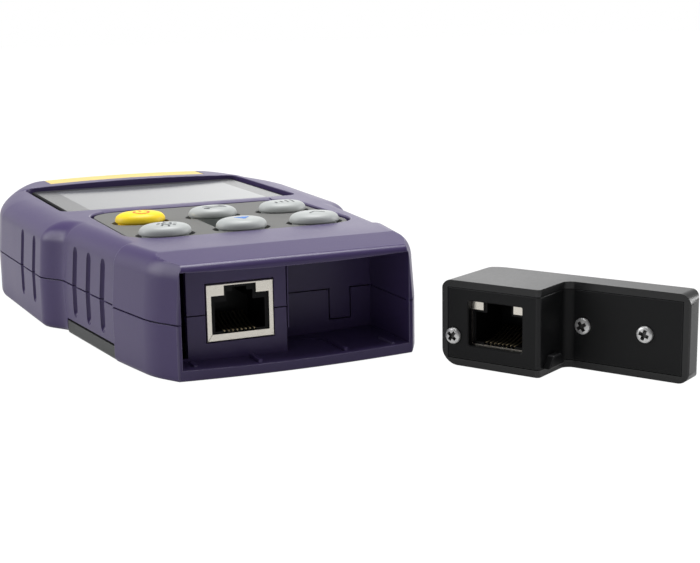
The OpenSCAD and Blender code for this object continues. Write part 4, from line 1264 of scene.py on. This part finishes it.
def makeRemoteCover():
    r, k = remoteForm, coverForm
    cover = coverSheet()
    cover.name = "remoteCover"
    soften(cover, sharp(60), k["soft"])
    sunk, out = k["wedgeOut"]
    ends = (r["thick"] - sunk, r["thick"] + out)
    catch = stack("tool", [[(u, v, r["wall"] + z) for v, z in k["wedge"]] for u in ends])
    join(cover, soften(catch, sharp(40), k["wedgeSoft"]))
    window, wide = roundedRect(*k["window"], 4), roundedRect(*k["windowRim"], 4)
    through = r["cover"] + overcut
    carve(cover, inwards([(-overcut, wide), (0.0, wide), (k["rimDeep"], window), (through, window)]))
    for u, v, z in remoteSpots:
        hole = oval(u, z, 2 * k["screwHole"], 2 * k["screwHole"], 24)
        carve(cover, inwards([(depth, hole) for depth in (v - overcut, v + through)]))
    finishPiece(setDown(cover, remoteTurn), "coverBlack", "remote", "cover_black", ["remote_cover"])


makeRemoteCase()
makeRemoteCover()


# screws, head upwards along z with the seat at zero

screwForm = {"remote": {"head": 3.7, "high": 0.9, "shank": 1.8, "reach": 4.8, "slot": (0.72, 2.6, 0.7)},
             "case": {"head": 5.0, "high": 2.0, "shank": 2.5, "reach": 12.0, "slot": (0.8, 3.4, 1.3)},
             "caseSeat": -7.0, "dome": (0.42, 0.4), "turn": 1.5, "shadedPit": (0.86, 0.55),
             "point": (0.5, 0.5), "broken": (0.04, 0.06), "crown": 0.02, "slotFoot": 0.5, "slotFlare": 1.15}


def makeScrew(kind):
    k, shared = screwForm[kind], screwForm
    r, high, core, reach = k["head"] / 2, k["high"], k["shank"] / 2, k["reach"]
    bulge, brim = shared["dome"]
    dome = [(r * math.cos(a) ** bulge, high * (brim + (1 - brim) * math.sin(a))) for a in quarter(8)[:-1]]
    (thin, taper), (inset, lift) = shared["point"], shared["broken"]
    rings = [(core * thin, -reach), (core, taper - reach), (core, 0), (r - inset, 0.0), (r, lift)]
    rings += dome + [(shared["crown"], high)]
    screw = stack("screw", [[(x, y, z) for x, y in oval(0, 0, 2 * a, 2 * a, 40)] for a, z in rings])
    wide, long, deep = k["slot"]
    foot, flare = shared["slotFoot"], shared["slotFlare"]
    for turn in (0, 90):
        levels = ((long / 2 * foot, wide / 2, high - deep), (long / 2, wide / 2 * flare, high + 0.1))
        blade = stack("tool", [[(x, y, z) for x, y in rect(-a, a, -b, b)] for a, b, z in levels])
        carve(screw, setDown(blade, Matrix.Rotation(math.radians(turn), 4, "Z")))
    # painted shade in the cross slots: faces low in the slots take the darker tint
    below, within = shared["shadedPit"]
    shadedPits = [1.0 if 0 < p.center.z < below * high * mm and p.center.xy.length < within * long * mm else 0.0
            for p in screw.data.polygons]
    screw.data.attributes.new("shade", "FLOAT", "FACE").data.foreach_set("value", shadedPits)
    return screw


def makeScrews(name, kind, spots, seed, matrix, finish, body, slotName, node):
    screws = scatter(name, makeScrew(kind), spots, screwForm["turn"], seed, finish)
    finishPiece(setDown(screws, matrix), finish, body, slotName, [node])


layBack = Matrix(((1, 0, 0, 0), (0, 0, -1, 0), (0, 1, 0, 0), (0, 0, 0, 1)))
makeScrews("remoteScrews", "remote", [(u, z, -v) for u, v, z in remoteSpots], 11, remoteTurn @ layBack,
           "screwBright", "remote", "screw_bright", "remote_screws")
makeScrews("caseScrews", "case", [(x, -(noseY + s), screwForm["caseSeat"]) for x, s in screwSpots], 5,
           Matrix.Rotation(math.pi, 4, "X"), "screwZinc", "main", "screw_steel", "case_screws")
print("remote end and screws in place")


# solids that stay as they are, with their finishes

# the socket board takes the black finish as painted shade in the gap beside the panel
keptSolids = {"display_panel": "screenLens", "backlight": "guideWhite", "key_switches": "switchGrey",
              "main_board": "boardGreen", "socket_board": "linerBlack", "board_header": "linerBlack",
              "socket_insert": "linerBlack", "cells": "cellSleeve", "cell_contacts": "springSteel",
              "remote_board": "boardGreen", "remote_socket_insert": "linerBlack"}
for node, finish in keptSolids.items():
    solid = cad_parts[node].data
    solid.materials.clear()
    solid.materials.append(finishes[finish])


# floor, light and camera

floorForm = {"size": 6.0, "drop": 0.0002, "tint": (0.42, 0.42, 0.42), "rough": 0.9, "glow": 0.9,
             "white": 1.12, "mirrored": 0.43}


def makeFloor():
    k = floorForm
    half = k["size"] / 2
    mesh = bpy.data.meshes.new("floor")
    mesh.from_pydata([(x, y, -k["drop"]) for x, y in rect(-half, half, -half, half)], [], [(0, 1, 2, 3)])
    f = Finish("floorPale")
    camera, glossy, through = f.sightLines()
    seen = camera.most(glossy * k["mirrored"]).most(through)
    glow = f.node("ShaderNodeEmission", None, {"Color": (1, 1, 1, 1), "Strength": k["white"]})
    mesh.materials.append(f.done(Base_Color=rgba(k["tint"]), Roughness=k["rough"]))
    plain = Wire(f.tree, f.shader.outputs[0])
    both = f.node("ShaderNodeMixShader", None, {0: seen * k["glow"], 1: plain, 2: glow})
    plug(f.tree, f.tree.nodes["Material Output"].inputs[0], both)
    addObject("floor", mesh)


studioForm = {"fill": 0.36, "near": (-0.25, -0.97), "nearRamp": 1.8, "nearFill": 0.8, "nearSheen": 0.12,
              "screen": (0.43, 0.87, 0.22), "focus": 40.0, "sheen": (0.7, 1.35), "high": (0.24, 4.0, 0.6)}


def makeStudio():
    k = studioForm
    world = bpy.data.worlds.new("studio")
    world.use_nodes = True
    bpy.context.scene.world = world
    w = Graph(world.node_tree)
    camera, glossy, through = w.sightLines()
    x, y, z = w.split(w.node("ShaderNodeTexCoord"))
    nearX, nearY = k["near"]
    near = ((x * nearX + y * nearY) * k["nearRamp"]).clamped()  # the studio is darker behind the camera
    screenX, screenY, screenZ = k["screen"]  # one brighter screen far right
    lit = (x * screenX + y * screenY + z * screenZ).most(0.0) ** k["focus"]
    soft = (1.0 - near * (1.0 - k["nearFill"])) * k["fill"]
    start, rate, loss = k["high"]  # the ceiling reflects less than the walls
    high = ((z - start) * rate).clamped()
    level, extra = k["sheen"]
    sheen = (1.0 - near * (1.0 - k["nearSheen"])) * (level + lit * extra) * (1.0 - high * loss)
    sky = w.tree.nodes["Background"]
    sky.inputs["Color"].default_value = (1, 1, 1, 1)
    plug(w.tree, sky.inputs["Strength"], camera.most(soft + glossy.most(through) * (sheen - soft)))


lampForm = [("softTop", (0.16, 0.06, 0.85), (0.0, 0.0, 0.0), 0.5, 8.0),  # name, place, target, size, power
            ("softLeft", (-0.8, 0.3, 0.4), (0.0, -0.02, 0.0), 0.6, 4.1),
            ("softRight", (0.9, -0.15, 0.16), (0.05, -0.1, 0.01), 0.35, 2.6)]


def makeLamps():
    for name, place, target, size, power in lampForm:
        lamp = bpy.data.lights.new(name, "AREA")
        lamp.shape = "SQUARE"
        lamp.size = size
        lamp.energy = power
        stand = addObject(name, lamp)
        stand.location = place
        stand.rotation_euler = (Vector(target) - Vector(place)).to_track_quat("-Z", "Y").to_euler()


cameraForm = {"place": (-0.10925, -0.35046, 0.07890), "yaw": -0.4201167, "pitch": 0.1983286,
              "roll": -0.0160456, "focal": 1350.0, "imageWidth": 700.0, "sensor": 36.0, "nearest": 0.01}


def makeCamera():
    k = cameraForm
    lens = bpy.data.cameras.new("camera")
    lens.sensor_fit = "HORIZONTAL"
    lens.sensor_width = k["sensor"]
    lens.lens = k["focal"] / k["imageWidth"] * k["sensor"]
    lens.clip_start = k["nearest"]
    eye = addObject("camera", lens)
    yaw, pitch, roll = k["yaw"], k["pitch"], k["roll"]
    right = Vector((math.cos(yaw), math.sin(yaw), 0))
    ahead = Vector((-math.sin(yaw) * math.cos(pitch), math.cos(yaw) * math.cos(pitch), -math.sin(pitch)))
    up = right.cross(ahead)
    side = right * math.cos(roll) + up * math.sin(roll)
    top = up * math.cos(roll) - right * math.sin(roll)
    turned = Matrix((side, top, -ahead)).transposed().to_4x4()
    eye.matrix_world = Matrix.Translation(Vector(k["place"])) @ turned
    bpy.context.scene.camera = eye


makeFloor()
makeStudio()
makeLamps()
makeCamera()
bpy.context.scene.view_settings.view_transform = "Standard"
print("stage ready")
